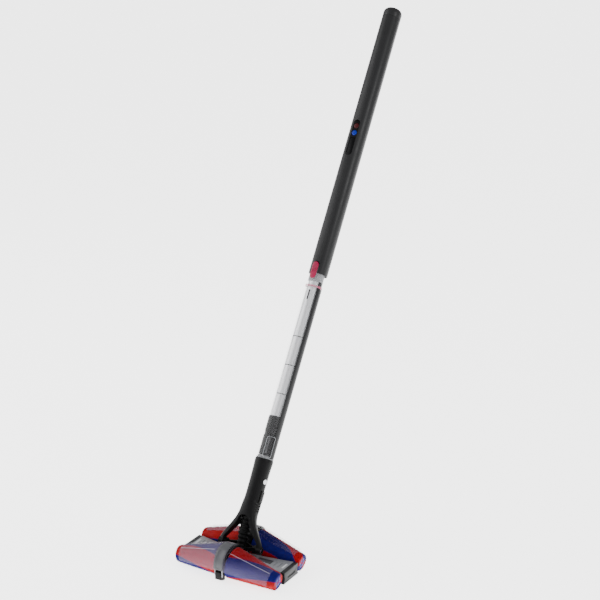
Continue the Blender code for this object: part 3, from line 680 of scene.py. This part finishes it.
def bridges():
    for row, sign in ROWS.items():
        piece(bridge_body(row, sign), "head", "head_grey", "cap_dark", f"bridge_{row}")
        low, high = BAND_R
        band = loft(f"bridge_band_{row}", band_rings(sign, low, high, BAND_HALF, BAND_FOOT, BAND_END[row]))
        sunk = band_rings(sign, high - 0.0007, high + 0.01, 0.0052, 0.0265, math.radians(60))
        inlay = loft("cutter", sunk)
        cut(band, inlay)
        rounded(band, 0.0006, 3, 40)
        piece(smooth(band), "head", "head_grey", "band_grey")
        for side in (-1, 1):
            x = side * 0.0078
            near, far = sorted((sign * 0.0735, sign * 0.0755))
            corners = (x - 0.0009, near, 0.0095), (x + 0.0009, far, 0.024)
            lip = box(f"castor_lip_{row}_{side}", *corners, Matrix(), 0.0005)
            piece(lip, "head", "head_grey", "hub_light")
        near, far = sorted((sign * 0.0708, sign * 0.0775))
        corners = (-0.0068, near, 0.0032), (0.0068, far, 0.019)
        guard = box(f"castor_guard_{row}", *corners, Matrix(), 0.0014, 4)
        piece(guard, "head", "head_grey", "black")
        reach = BRIDGE_R + 0.0002
        outline = [(0, 0.0014), (0.0014, 0.0012), (0.0021, 0.0006), (0.0021, -0.0014), (0, -0.0014)]
        where = (0, sign * (ROW_Y + reach * math.cos(LAMP_ANGLE)), CONE_Z + reach * math.sin(LAMP_ANGLE))
        place = Matrix.Translation(where) @ Matrix.Rotation(-sign * math.pi / 2, 4, "X")
        lens = lathe(f"lamp_lens_{row}", outline, place, 32, closed=False)
        piece(lens, "head", "head_grey", "hub_light")


def axis_place(row_sign, side_sign):
    """A roller's own axes: Z from its wide end out to its free end."""
    root = Matrix.Translation((side_sign * CONE_START, row_sign * ROW_Y, CONE_Z))
    return root @ Matrix.Rotation(side_sign * (math.pi / 2 + CONE_TILT), 4, "Y")


def pile_radius(t):
    return CONE_BIG + (CONE_SMALL - CONE_BIG) * t / CONE_LENGTH


RED = np.array((0.46, 0.0003, 0.004))
BLUE = np.array((0.003, 0.0006, 0.15))
# Where the leading edge of a red band lies at each cone's wide end, in degrees from straight up
# towards the head's outside; how far it winds by the free end; and the power that bends its path
BAND_START = {"front_left": 50, "front_right": -45, "rear_left": -68, "rear_right": 20}
BAND_WIND = {"front_left": -70, "front_right": -70, "rear_left": -10, "rear_right": -115}
BAND_BEND = {"front_left": 1, "front_right": 1, "rear_left": 1, "rear_right": 4}


def band_tint(turn, along, start, wind):
    """Red or blue by the band a point lies in: two of each wind part of the way round the cone."""
    place = ((turn - start - wind * along) / 180) % 1.0
    red = np.clip((0.25 - np.abs(place - 0.25)) * 60 + 0.5, 0, 1)
    return RED * red[..., None] + BLUE * (1 - red)[..., None]


def tint_of(points, name, row_sign, side_sign):
    """The tint at points given in the roller's own axes, its turn counted from straight up outwards."""
    up = -side_sign * points[:, 0]
    out = row_sign * points[:, 1]
    turn = np.degrees(np.arctan2(out, up))
    along = np.clip(points[:, 2] / CONE_LENGTH, 0, 1) ** BAND_BEND[name]
    return band_tint(turn, along, BAND_START[name], BAND_WIND[name])


def set_tint(mesh, tints):
    colours = np.ones((len(tints), 4), np.float32)
    colours[:, :3] = np.clip(tints, 0, 1)
    layer = mesh.color_attributes.new("tint", "FLOAT_COLOR", "POINT")
    layer.data.foreach_set("color", colours.ravel())


def sleeve_base(steps=96, stations=60):
    """The sleeve under the tufts, as points in the roller's own axes and faces."""
    depth = 0.0013
    edge = 0.0016
    foot = [(CONE_BIG - PILE, 0.0002), (CONE_BIG - depth - edge, 0.0004)]
    tip = [(CONE_SMALL - depth - edge, CONE_LENGTH - 0.0004), (CONE_SMALL - PILE, CONE_LENGTH - 0.0002)]
    stretch = [edge + (CONE_LENGTH - 2 * edge) * i / stations for i in range(stations + 1)]
    profile = foot + [(pile_radius(t) - depth, t) for t in stretch] + tip
    turns = [2 * math.pi * k / steps for k in range(steps)]
    ring = np.array([(math.cos(a), math.sin(a)) for a in turns])
    points = np.vstack([np.column_stack([ring * r, np.full(steps, t)]) for r, t in profile])
    faces = []
    count = len(profile)
    for i in range(count):
        a, b = i * steps, ((i + 1) % count) * steps
        for k in range(steps):
            n = (k + 1) % steps
            faces.append((a + k, a + n, b + n, b + k))
    return points, faces


def tufts(draw, count):
    """Roots and corners of thin three-sided spikes, leaning a little, that reach the cone's surface."""
    share = draw.random(count)
    taper = CONE_SMALL / CONE_BIG
    t = CONE_LENGTH * (1 - np.sqrt(1 - share * (1 - taper**2))) / (1 - taper)
    t = np.clip(t, 0.0006, CONE_LENGTH - 0.0006)
    turn = draw.random(count) * 2 * math.pi
    radius = pile_radius(t)
    end_pull = np.clip(1 - np.minimum(t, CONE_LENGTH - t) / 0.0022, 0, 1)
    reach = radius - end_pull * 0.0016 - draw.random(count) * 0.0004
    out = np.column_stack([np.cos(turn), np.sin(turn), np.zeros(count)])
    along = np.column_stack([-np.sin(turn), np.cos(turn), np.zeros(count)])
    up = np.array((0, 0, 1.0))
    root = out * (radius - 0.0028)[:, None] + up * t[:, None]
    lean = draw.normal(0, 0.0004, (count, 2))
    tip = out * reach[:, None] + up * np.clip(t + lean[:, 1], 0.0003, CONE_LENGTH - 0.0003)[:, None]
    tip = tip + along * lean[:, :1]
    width = 0.00055 + 0.0002 * draw.random(count)
    corners = []
    for k in range(3):
        a = 2 * math.pi * k / 3
        corners.append(root + (along * math.cos(a) + up * math.sin(a)) * width[:, None])
    return root, np.stack([*corners, tip], axis=1).reshape(-1, 3)


def pile_sleeve(name, row_sign, side_sign):
    """One roller's pile: the sleeve and its tufts, coloured point by point."""
    draw = np.random.default_rng(11 + row_sign * 3 + side_sign)
    base, faces = sleeve_base()
    root, spikes = tufts(draw, TUFTS)
    shade = 0.8 + 0.4 * draw.random(TUFTS)
    tuft_tint = tint_of(root, name, row_sign, side_sign) * shade[:, None]
    # Painted shade: each tuft darker at its root and painted lighter at its tip, and the sleeve under the
    # tufts darkened too
    painted_root_shade_to_tip_light = np.tile([0.6, 0.6, 0.6, 1.15], TUFTS)
    sleeve_tint_in_painted_shade = tint_of(base, name, row_sign, side_sign) * 0.75
    tints = [sleeve_tint_in_painted_shade, np.repeat(tuft_tint, 4, axis=0) * painted_root_shade_to_tip_light[:, None]]
    for n in range(len(base), len(base) + 4 * TUFTS, 4):
        faces += [(n, n + 1, n + 3), (n + 1, n + 2, n + 3), (n + 2, n, n + 3), (n, n + 2, n + 1)]
    matrix = np.array(axis_place(row_sign, side_sign))
    points = np.vstack([base, spikes]) @ matrix[:3, :3].T + matrix[:3, 3]
    mesh = bpy.data.meshes.new(f"pile_{name}")
    mesh.from_pydata(points.tolist(), [], faces)
    set_tint(mesh, np.vstack(tints))
    bm = bmesh.new()
    bm.from_mesh(mesh)
    bmesh.ops.recalc_face_normals(bm, faces=bm.faces)
    bm.to_mesh(mesh)
    bm.free()
    mesh.shade_smooth()
    piece(linked(f"pile_{name}", mesh), f"roller_{name}", "pile_fabric", "pile", f"pile_sleeve_{name}")


def rollers():
    for row, row_sign in ROWS.items():
        for side, side_sign in SIDES.items():
            name = f"{row}_{side}"
            pile_sleeve(name, row_sign, side_sign)
            roller_end(name, row_sign, side_sign)
            refinish(f"roller_core_{name}", "core")
            refinish(f"brush_motor_{name}", "steel")
            visor(name, row_sign, side_sign)


def roller_end(name, row_sign, side_sign):
    """The moulded cap in the roller's free end: a dished disc with spokes."""
    place = axis_place(row_sign, side_sign)
    face = CONE_LENGTH
    front, dish, back = face + 0.0001, face - 0.0008, face - 0.0012
    outline = [(0, front), (0.0022, front), (0.0034, dish), (0.0088, dish), (0.0098, front)]
    outline += [(0.0108, front), (0.0108, back), (0.0026, back), (0, back)]
    cap = lathe(f"roller_end_{name}", outline, place, 48, closed=False, radius=0.0002)
    spokes = []
    for k in range(6):
        turn = place @ Matrix.Rotation(2 * math.pi * k / 6, 4, "Z")
        low_corner, high_corner = (0.0018, -0.0006, face - 0.001), (0.01, 0.0006, face - 0.0001)
        spokes.append(box("spoke", low_corner, high_corner, turn, 0.0002, 2))
    join(cap, *spokes)
    smooth(cap)
    inverse = place.inverted()
    local = np.array([tuple(inverse @ (cap.matrix_world @ v.co)) for v in cap.data.vertices])
    set_tint(cap.data, tint_of(local, name, row_sign, side_sign))
    piece(cap, f"roller_{name}", "core_plastic", "pile")


def visor(name, row_sign, side_sign):
    """A thin clear hood over the top and outside of one cone, cut upright where it meets the band, with a
    light strip along it that is a painted highlight.
    """
    place = axis_place(row_sign, side_sign)
    low, high = VISOR_ANGLES
    up = -side_sign
    steps, stations = 56, 24
    reach = pile_radius(0) + VISOR_GAP
    bm = bmesh.new()
    layers = []
    for lift, inset in ((0, 0.0002), (VISOR_WALL, -0.0003)):
        grid = []
        for i in range(stations + 1):
            row = []
            for k in range(steps + 1):
                a = low + (high - low) * k / steps
                begin = VISOR_START_X - CONE_START - reach * math.sin(CONE_TILT) * math.sin(a)
                begin = begin / math.cos(CONE_TILT)
                t = begin + (VISOR_END - begin) * i / stations
                at_edge = i in (0, stations) or k in (0, steps)
                r = pile_radius(t) + VISOR_GAP + lift + (inset if at_edge else 0)
                row.append(bm.verts.new((r * up * math.sin(a), r * row_sign * math.cos(a), t)))
            grid.append(row)
        layers.append(grid)
        for i in range(stations):
            for k in range(steps):
                bm.faces.new((grid[i][k], grid[i][k + 1], grid[i + 1][k + 1], grid[i + 1][k]))
    inside, outside = layers
    for i in range(stations):
        for k in (0, steps):
            bm.faces.new((inside[i][k], inside[i + 1][k], outside[i + 1][k], outside[i][k]))
    for k in range(steps):
        for i in (0, stations):
            bm.faces.new((inside[i][k], inside[i][k + 1], outside[i][k + 1], outside[i][k]))
    hood = smooth(new_object(bm, f"visor_hood_{name}", place), 60)
    side = "left" if side_sign < 0 else "right"
    piece(hood, "head", "clear_plastic", f"visor_{side}", f"visor_{name}")
    # A thin light strip along the hood at a set turn: a painted highlight line, not a moulding
    ridge = []
    for i in range(stations + 1):
        t = 0.003 + (VISOR_END - 0.004) * i / stations
        r = pile_radius(t) + VISOR_GAP + VISOR_WALL
        ring = []
        for half, lift in ((-0.0003, -0.0002), (0.0003, -0.0002), (0.0002, 0.0002), (-0.0002, 0.0002)):
            a = GLINT_STRIP_TURN + half / r
            ring.append((up * (r + lift) * math.sin(a), row_sign * (r + lift) * math.cos(a), t))
        ridge.append(ring)
    ridge = smooth(loft(f"visor_glint_strip_{name}", ridge, place), 60)
    piece(ridge, "head", "clear_plastic", "visor_painted_glint", f"visor_{name}")


def castors():
    places = {"front": (0, -0.064), "rear": (0, 0.064), "left": (-0.08, 0), "right": (0.08, 0)}
    for name, (x, y) in places.items():
        swivel = Matrix.Translation((x, y, 0))
        top = BRIDGE_FLOOR - 0.0003
        stem = [(0, 0.0145), (0.0025, 0.0145), (0.0025, top)]
        skirt = [(0.0052, top), (0.006, top - 0.0012), (0.006, -0.0012), (0, -0.0012)]
        yoke = lathe(f"castor_fork_{name}", stem + skirt, swivel, 64, closed=False)
        cut(yoke, box("cutter", (-0.0022, -0.01, -0.01), (0.0022, 0.01, 0.0065), swivel))
        drill(yoke, 0.0012, (-0.01, CASTOR_TRAIL, 0.001), (0.01, CASTOR_TRAIL, 0.001), swivel)
        piece(smooth(yoke), f"castor_{name}", "black_plastic", "cap_dark", f"castor_yoke_{name}")
        axle = swivel @ Matrix.Translation((0, CASTOR_TRAIL, 0.001)) @ Matrix.Rotation(math.pi / 2, 4, "Y")
        hub = [(0, 0.0048), (0.0009, 0.0048), (0.0009, 0.0014), (0.003, 0.0012)]
        half = hub + [(0.0036, 0.0018), (0.0046, 0.0018), (WHEEL_R, 0.0011)]
        outline = half + [(r, -h) for r, h in reversed(half)]
        wheel = lathe(f"castor_tyre_{name}", outline, axle, 64, closed=False, radius=0.0002)
        piece(wheel, f"wheel_{name}", "rubber", "wheel", f"castor_wheel_{name}")


# ---- neck


def bellows_point(s):
    """The hose's centre line: s runs 0 to 1 from the head's duct, through the pivot, up the neck."""
    base = Vector((0, 0, 0.0168))
    lean = Vector((0, math.sin(LEAN), math.cos(LEAN)))
    pivot = Vector((0, 0, PIVOT_Z))
    top = pivot + lean * 0.062 + Vector((0, math.cos(LEAN), -math.sin(LEAN))) * LOWER_Y
    low, high = pivot - Vector((0, 0, 0.014)), pivot + lean * 0.014
    if s < 0.14:
        return base.lerp(low, s / 0.14)
    if s < 0.45:
        u = (s - 0.14) / 0.31
        return low * (1 - u) ** 2 + pivot * 2 * u * (1 - u) + high * u**2
    return high.lerp(top, (s - 0.45) / 0.55)


def bellows_part(name, start, end, ribs, body_a, body_b, *nodes):
    """One length of ribbed hose, drawn bent along its centre line from start to end."""
    per_rib, steps = 8, 48
    count = ribs * per_rib + 1
    rings = []
    for i in range(count):
        s = start + (end - start) * i / (count - 1)
        centre = bellows_point(s)
        ahead = (bellows_point(min(s + 0.01, 1)) - bellows_point(max(s - 0.01, 0))).normalized()
        side = Vector((1, 0, 0))
        across = ahead.cross(side).normalized()
        wave = 0.5 + 0.5 * math.cos(2 * math.pi * i / per_rib)
        swell = min(max((s - BELLOWS_SWELL[0]) / (BELLOWS_SWELL[1] - BELLOWS_SWELL[0]), 0), 1)
        r = (BELLOWS_R + (BELLOWS_BIG - BELLOWS_R) * swell) * (0.82 + 0.18 * wave**0.7)
        ring = [
            tuple(centre + side * (r * math.cos(a)) + across * (r * math.sin(a)))
            for a in (2 * math.pi * k / steps for k in range(steps))
        ]
        rings.append(ring)
    hose = smooth(loft(name, rings), 70)
    hose.data.materials.append(FINISHES["rubber"])
    if nodes:
        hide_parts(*nodes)
    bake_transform(hose)
    return hose


NECK_SECTIONS = [
    (0.000, 0.0465, 0.0074, 0.0000, 4.0),
    (0.009, 0.0450, 0.0074, -0.0018, 4.0),
    (0.020, 0.0388, 0.0078, -0.0038, 4.0),
    (0.030, 0.0324, 0.0090, -0.0054, 3.6),
    (0.040, 0.0264, 0.0106, -0.0062, 3.2),
    (0.050, 0.0215, 0.0128, -0.0058, 2.8),
    (0.061, 0.0187, 0.0154, -0.0046, 2.4),
    (0.076, 0.0180, 0.0172, -0.0030, 2.1),
    (0.084, 0.0179, 0.0176, -0.0024, 2.0),
    (0.088, 0.0170, 0.0170, LOWER_Y, 2.0),
    (0.110, 0.0168, 0.0168, LOWER_Y, 2.0),
    (0.150, 0.0174, 0.0174, LOWER_Y, 2.0),
    (0.164, 0.0180, 0.0180, LOWER_Y, 2.0),
    (NECK_TOP, 0.0176, 0.0176, LOWER_Y, 2.0),
]


def spline_sections(sections, fine):
    """Samples a smooth curve through the sections' numbers, by height."""
    table = np.array(sections)
    made = []
    for i in range(len(table) - 1):
        p0 = table[max(i - 1, 0)]
        p1, p2 = table[i], table[i + 1]
        p3 = table[min(i + 2, len(table) - 1)]
        for k in range(fine):
            t = k / fine
            square, cube = 2 * p0 - 5 * p1 + 4 * p2 - p3, 3 * p1 - p0 - 3 * p2 + p3
            value = 0.5 * (2 * p1 + (p2 - p0) * t + square * t**2 + cube * t**3)
            value[0] = p1[0] + (p2[0] - p1[0]) * t
            made.append(tuple(value))
    made.append(tuple(table[-1]))
    return made


def superellipse(half_x, half_y, power, count):
    points = []
    for i in range(count):
        a = 2 * math.pi * i / count
        c, s = math.cos(a), math.sin(a)
        x = half_x * math.copysign(abs(c) ** (2 / power), c)
        y = half_y * math.copysign(abs(s) ** (2 / power), s)
        points.append((x, y))
    return points


def neck():
    rings = []
    for height, half_x, half_y, centre_y, power in spline_sections(NECK_SECTIONS, 5):
        outline = superellipse(half_x, half_y, power, 72)
        rings.append([(x, y + centre_y, height) for x, y in outline])
    fork = loft("neck_fork_shell", rings, STICK)
    for sign in (-1, 1):
        foot = rod("foot", 0.0078, (sign * 0.037, 0, 0), (sign * 0.0465, 0, 0), STICK, 64)
        cut(fork, foot, "UNION")
    right = [(0.037, -0.02), (0.037, 0.009), (0.0335, 0.014), (0.0285, 0.0205)]
    right += [(0.0235, 0.0275), (0.018, 0.035), (0.0128, 0.043)]
    crown = arc((0, 0.0445), 0.0125, math.radians(10), math.radians(170), 25)
    left = [(-x, z) for x, z in reversed(right)]
    arch = prism("cutter", right + crown + left, -0.05, 0.05, STICK @ FRONT)
    cut(fork, arch)
    drill(fork, 0.012, (0, LOWER_Y, 0.03), (0, LOWER_Y, NECK_TOP + 0.01), STICK, 96)
    drill(fork, 0.0033, (-0.06, 0, 0), (0.06, 0, 0), STICK)
    cut(fork, box("cutter", (0.0126, -0.0085, 0.0855), (0.03, 0.0041, 0.1085), STICK, 0.0012))
    for side in (-VENT_DEGREES, 180 + VENT_DEGREES):
        grille = LOWER @ Matrix.Rotation(math.radians(side), 4, "Z")
        for i in range(4):
            low = VENT_LOW + VENT_PITCH * i
            vent = box("cutter", (0.0156, -0.0072, low), (0.03, 0.0072, low + 0.0026), grille, 0.0009)
            cut(fork, vent)
    cut(fork, tube("cutter", 0.024, 0.0169, *NECK_SEAM, LOWER, radius=0))
    rounded(fork, 0.0007, 3, 50)
    piece(smooth(fork, 40), "neck", "black_plastic", "black", "neck_fork")
    button = box("neck_button_pad", (0.0152, -0.008, 0.086), (0.018, 0.0036, 0.108), STICK, 0.001, 4)
    feet = [0.0885 + 0.0042 * i for i in range(5)]
    ribs = [box("rib", (0.0176, -0.0066, z), (0.0184, 0.0022, z + 0.002), STICK, 0.0003) for z in feet]
    join(button, *ribs)
    piece(smooth(button), "neck_button", "black_plastic", "black", "head_release_button")
    spin = LOWER @ Matrix.Rotation(NECK_MARK_TURN, 4, "Z")
    dot_place = spin @ Matrix.Translation((0.0166, 0, NECK_MARK_S)) @ Matrix.Rotation(math.pi / 2, 4, "Y")
    dome = [(0, 0.0014), (0.003, 0.0013), (0.0044, 0.0008), (0.0048, 0.0002)]
    outline = dome + [(0.0048, -0.0012), (0, -0.0012)]
    dot = lathe("neck_mark", outline, dot_place, 48, closed=False)
    piece(dot, "neck", "head_grey", "white")
    for side, sign in SIDES.items():
        place = STICK @ Matrix.Translation((sign * 0.0464, 0, 0)) @ Matrix.Rotation(math.pi / 2, 4, "Y")
        boss = tube(f"neck_foot_trim_{side}", 0.006, 0.0042, -0.0006, 0.0006, place, 48, 0.0002)
        piece(boss, "neck", "head_grey", "cap_dark")
    refinish("gimbal_ring", "black")
    for name in ("roll_pin_front", "roll_pin_rear", "pitch_pin_left", "pitch_pin_right"):
        refinish(name, "steel")
    bellows_part("duct_bellows_lower", 0.0, 0.295, 3, "head", "gimbal", "duct_bellows")
    bellows_part("duct_bellows_upper", 0.295, 1.0, 8, "gimbal", "neck")


# ---- wand


def clear_bin():
    """The bin in two halves round the stick, clear in front and dark behind, with its rim and a rose band
    that is a painted reflection of the red catch.
    """
    inner = BIN_R - BIN_WALL
    foot = NECK_TOP + 0.0003
    start, end = BIN_BACK
    gap = 0.01
    first, last = end + gap, start + 2 * math.pi - gap
    front = arc((0, 0), BIN_R, first, last, 61) + arc((0, 0), inner, last, first, 61)
    back = arc((0, 0), BIN_R, start, end, 81) + arc((0, 0), inner, end, start, 81)
    window = prism("clear_bin_front", front, foot, BIN_BACK_TOP, LOWER, 0.0002)
    piece(smooth(window), "bin", "clear_plastic", "bin", "clear_bin")
    rear = prism("bin_back", back, foot, BIN_BACK_TOP, LOWER, 0.0002)
    piece(smooth(rear), "bin", "graphite", "bin_back", "clear_bin")
    low = BIN_BACK_TOP + 0.0002
    edge = [(BIN_R - 0.0004, BIN_TOP), (BIN_R, BIN_TOP - 0.001)]
    outline = edge + [(BIN_R, low), (inner, low), (inner, BIN_TOP)]
    rim = lathe("clear_bin_rim", outline, LOWER, 128)
    piece(rim, "bin", "clear_plastic", "bin", "clear_bin")
    # A rose band round the bin just under the catch: a painted reflection of the red catch
    band = tube("bin_painted_catch_reflection_band", BIN_R + 0.0003, BIN_R - 0.0004, *CATCH_REFLECTION_BAND, LOWER, radius=0.0001)
    piece(band, "bin", "clear_plastic", "bin_rim")


def mesh_shroud():
    """The screen inside the bin, with its bands and scraper, light strips along it that are painted
    highlights, and the spine behind it.
    """
    shroud = tube("shroud_screen", SHROUD_R, SHROUD_R - 0.001, *SHROUD, LOWER, radius=0.0002)
    piece(shroud, "wand", "mesh_metal", "screen", "mesh_shroud")
    for i, height in enumerate(SHROUD_BANDS):
        low, high = height - 0.0008, height + 0.0008
        radii = (SHROUD_R + 0.0005, SHROUD_R - 0.0002)
        band = tube(f"shroud_band_{i + 1}", *radii, low, high, LOWER, radius=0.0002)
        piece(band, "wand", "mesh_metal", "graphite")
    # Light strips along the screen, the first one the lightest: painted highlight streaks, not ribs of the
    # screen
    for i, turn_at in enumerate(SHROUD_GLINT_DEGREES):
        middle, half = math.radians(turn_at), math.radians(2.2)
        outer = arc((0, 0), SHROUD_R + 0.0006, middle - half, middle + half, 5)
        rail = outer + arc((0, 0), SHROUD_R - 0.0002, middle + half, middle - half, 5)
        rib = prism(f"shroud_glint_strip_{i + 1}", rail, SHROUD[0] + 0.001, SHROUD[1] - 0.001, LOWER, 0.0001)
        piece(smooth(rib), "wand", "mesh_metal", "light_grey" if i == 0 else "shroud_glint_grey")
    scraper = box("scraper_bar", (-0.0009, -0.0148, 0.488), (0.0009, -0.0125, 0.508), LOWER, 0.0004)
    piece(scraper, "wand", "graphite", "graphite_dark")
    start, end = SPINE_TURN
    outline = arc((0, 0), 0.0149, start, end, 41) + arc((0, 0), SHROUD_R + 0.0007, end, start, 41)
    spine = prism("spine_cover", outline, SHROUD[0], SHROUD[1], LOWER, 0.0003)
    piece(smooth(spine), "wand", "graphite", "graphite_dark", "spine_rail")


def inlet():
    """What stands in the bin's foot: the separator, the spigot and its flap."""
    outline = [(0.0148, 0.2515), (0.0148, 0.2215), (0.0136, 0.2153), (0.0075, 0.2153), (0.0075, 0.2515)]
    cone = lathe("separator_shell", outline, LOWER)
    port = LOWER @ Matrix.Rotation(FLAP_TURN + math.radians(8), 4, "Z")
    drill(cone, 0.0022, (0, -0.0105, PORT_S), (0, -0.02, PORT_S), port)
    piece(smooth(cone), "wand", "graphite", "graphite", "separator_cone")
    outline = [(0.0146, 0.215), (0.0146, 0.1765), (0.0112, 0.1757), (0.0112, 0.13), (0.0085, 0.13)]
    spigot = lathe("spigot_tube", outline + [(0.0085, 0.215)], LOWER)
    door = LOWER @ Matrix.Rotation(FLAP_TURN, 4, "Z")
    low, high = SPIGOT_DOOR
    cut(spigot, box("cutter", (-0.0065, -0.02, low), (0.0065, -0.0104, high), door, 0.001))
    piece(smooth(spigot), "wand", "graphite", "graphite", "inlet_spigot")
    low_corner, high_corner = (-0.006, -0.0135, low + 0.0005), (-0.0012, -0.0107, high - 0.0005)
    flap = box("flap_door", low_corner, high_corner, door, 0.001)
    piece(smooth(flap), "wand", "graphite", "flap_grey", "inlet_flap")


def bin_foot():
    window = prism("window_frame", obround_rect(0.0085, 0.0205, 0.004), 0.0, 0.0007, Matrix(), 0.0002)
    cut(window, prism("cutter", obround_rect(0.0077, 0.0197, 0.0033), -0.01, 0.01, Matrix()))
    wrap(window, BIN_R - 0.0002, WINDOW_MID, FLAP_TURN)
    piece(smooth(window), "bin", "head_grey", "hub_light")
    ring = tube("bin_foot_ring", BIN_R + 0.0004, BIN_R - 0.0004, *FOOT_RING, LOWER, radius=0.0002)
    piece(ring, "bin", "head_grey", "bin_grey")
    seal = tube("bin_foot_seal", BIN_R - BIN_WALL - 0.0003, 0.0117, NECK_TOP + 0.0003, 0.1745, LOWER)
    piece(seal, "bin", "seal_grey", "seal", "bin_seal")


def handle():
    inner = TUBE_R - TUBE_WALL
    high = CAP_SEAM - 0.0003
    shell = tube("handle_shell", TUBE_R, inner, TUBE_BOTTOM, high, STICK, 128, 0.0003)
    slot = prism("cutter", obround(SLOT_HALF, SLOT_R), 0.01, 0.03, front_place(SLOT_MID))
    cut(shell, slot)
    half = CATCH_HALF + 0.0007
    arch = [(half, 0.5), *arc((0, 0.559), half, 0, math.pi, 21), (-half, 0.5)]
    cut(shell, prism("cutter", arch, 0.005, 0.03, front_place(0)))
    rounded(shell, 0.0005, 2, 50)
    piece(smooth(shell, 40), "wand", "graphite", "graphite", "handle_tube")
    fillet = arc((TUBE_R - 0.011, STICK_TOP - 0.011), 0.011, math.pi / 2, 0, 24)
    plug = inner - 0.0003
    foot = CAP_SEAM - 0.01
    outline = [(0, STICK_TOP), *fillet, (TUBE_R, CAP_SEAM), (plug, CAP_SEAM), (plug, foot), (0, foot)]
    cap = lathe("handle_end", outline, STICK, 128, closed=False, radius=0.0002)
    piece(cap, "wand", "graphite", "graphite", "handle_cap")
    collar = tube("collar_sleeve", 0.0149, 0.0118, 0.5264, 0.56, LOWER)
    piece(collar, "wand", "graphite", "bin_grey", "handle_collar")


def controls():
    outline = obround(SLOT_HALF - 0.0004, SLOT_R - 0.0004)
    bezel = prism("bezel_panel", outline, 0.0125, 0.0172, front_place(SLOT_MID), 0.0004)
    for height in (POWER_S, MODE_S):
        drill(bezel, BUTTON_R + 0.0003, (0, -0.01, height), (0, -0.025, height), STICK)
    low, high = DISPLAY_S
    cut(bezel, box("cutter", (-0.005, -0.02, low), (0.005, -0.015, high), STICK, 0.0006))
    piece(smooth(bezel), "wand", "black_plastic", "black_gloss", "control_bezel")
    for name, body, height, finish, slot in (
        ("power_button", "power", POWER_S, "power_red", "red_plastic"),
        ("mode_button", "mode", MODE_S, "blue", "blue_plastic"),
    ):
        dome = [(0, 0.0047), (BUTTON_R * 0.5, 0.0046), (BUTTON_R - 0.0008, 0.004), (BUTTON_R, 0.003)]
        outline = dome + [(BUTTON_R, 0), (0, 0)]
        cap = lathe(f"{name}_cap", outline, front_place(height, -0.0135), 64, closed=False)
        piece(cap, body, slot, finish, name)
    low_corner, high_corner = (-0.0047, -0.017, low + 0.0003), (0.0047, -0.0153, high - 0.0003)
    lens = box("display_window", low_corner, high_corner, STICK, 0.0005)
    piece(lens, "wand", "clear_plastic", "black_gloss", "display_lens")


def catch():
    low, high = CATCH_S
    middle = (low + high) / 2
    reach = (high - low) / 2
    back = BIN_R - LOWER_Y + 0.0003
    face = BIN_R - LOWER_Y + 0.0022
    tongue = prism("catch_tongue", obround(reach, CATCH_HALF), back, face, front_place(middle), 0.0007)
    pad = prism("pad", obround(0.0088, CATCH_HALF - 0.0006), 0.0175, 0.02, front_place(high - 0.0094))
    cut(tongue, pad, "UNION")
    for i in range(3):
        top = high - 0.0126 - 0.003 * i
        ridge = box("ridge", (-0.0044, -0.0224, top - 0.0014), (0.0044, -0.02, top), STICK, 0.0004)
        cut(tongue, ridge, "UNION")
    piece(smooth(tongue), "catch", "red_plastic", "red", "bin_catch")


def insides():
    for i in (1, 2, 3):
        refinish(f"battery_cell_{i}", "cell")
    refinish("control_board", "board")
    refinish("suction_motor", "steel")
    refinish("impeller", "steel")
    refinish("exhaust_filter", "filter")
    refinish("base_tray", "black")


# ---- stage


def stage():
    bm = bmesh.new()
    bmesh.ops.create_grid(bm, x_segments=1, y_segments=1, size=40)
    floor = new_object(bm, "floor")
    floor.location = (0, 0, FLOOR_Z)
    made, _, shader = shader_of("floor_pale")
    fill(shader, Base_Color=(0.92, 0.92, 0.92, 1), Roughness=0.9, Specular_IOR_Level=0.1)
    fill(shader, Emission_Color=(1, 1, 1, 1), Emission_Strength=FLOOR_GLOW)
    floor.data.materials.append(made)
    world = bpy.data.worlds.new("studio")
    bpy.context.scene.world = world
    world.use_nodes = True
    fill(world.node_tree.nodes["Background"], Color=(1, 1, 1, 1), Strength=WORLD_GLOW)
    for name, place, aim, size, power in (
        ("left_soft", (-2.2, -0.9, 1.6), (0, 0, 0.1), 2.4, 60),
        ("right_strip", (2.4, -0.2, 2.0), (0, 0.2, 0.5), 0.8, 25),
    ):
        data = bpy.data.lights.new(name, "AREA")
        data.energy = power
        data.size = size
        light = linked(name, data)
        light.location = place
        light.rotation_euler = (Vector(aim) - Vector(place)).to_track_quat("-Z", "Y").to_euler()


def camera():
    data = bpy.data.cameras.new("camera")
    data.lens = LENS
    data.sensor_width = 36
    data.clip_start, data.clip_end = 0.05, 50
    eye = linked("camera", data)
    eye.location = EYE
    yaw, pitch = EYE_YAW, EYE_PITCH
    forward = Vector((-math.sin(yaw) * math.cos(pitch), math.cos(yaw) * math.cos(pitch), -math.sin(pitch)))
    eye.rotation_euler = forward.to_track_quat("-Z", "Y").to_euler()
    bpy.context.scene.camera = eye


camera()
stage()
top_plate()
end_caps()
bridges()
rollers()
castors()
neck()
clear_bin()
mesh_shroud()
inlet()
bin_foot()
handle()
controls()
catch()
insides()
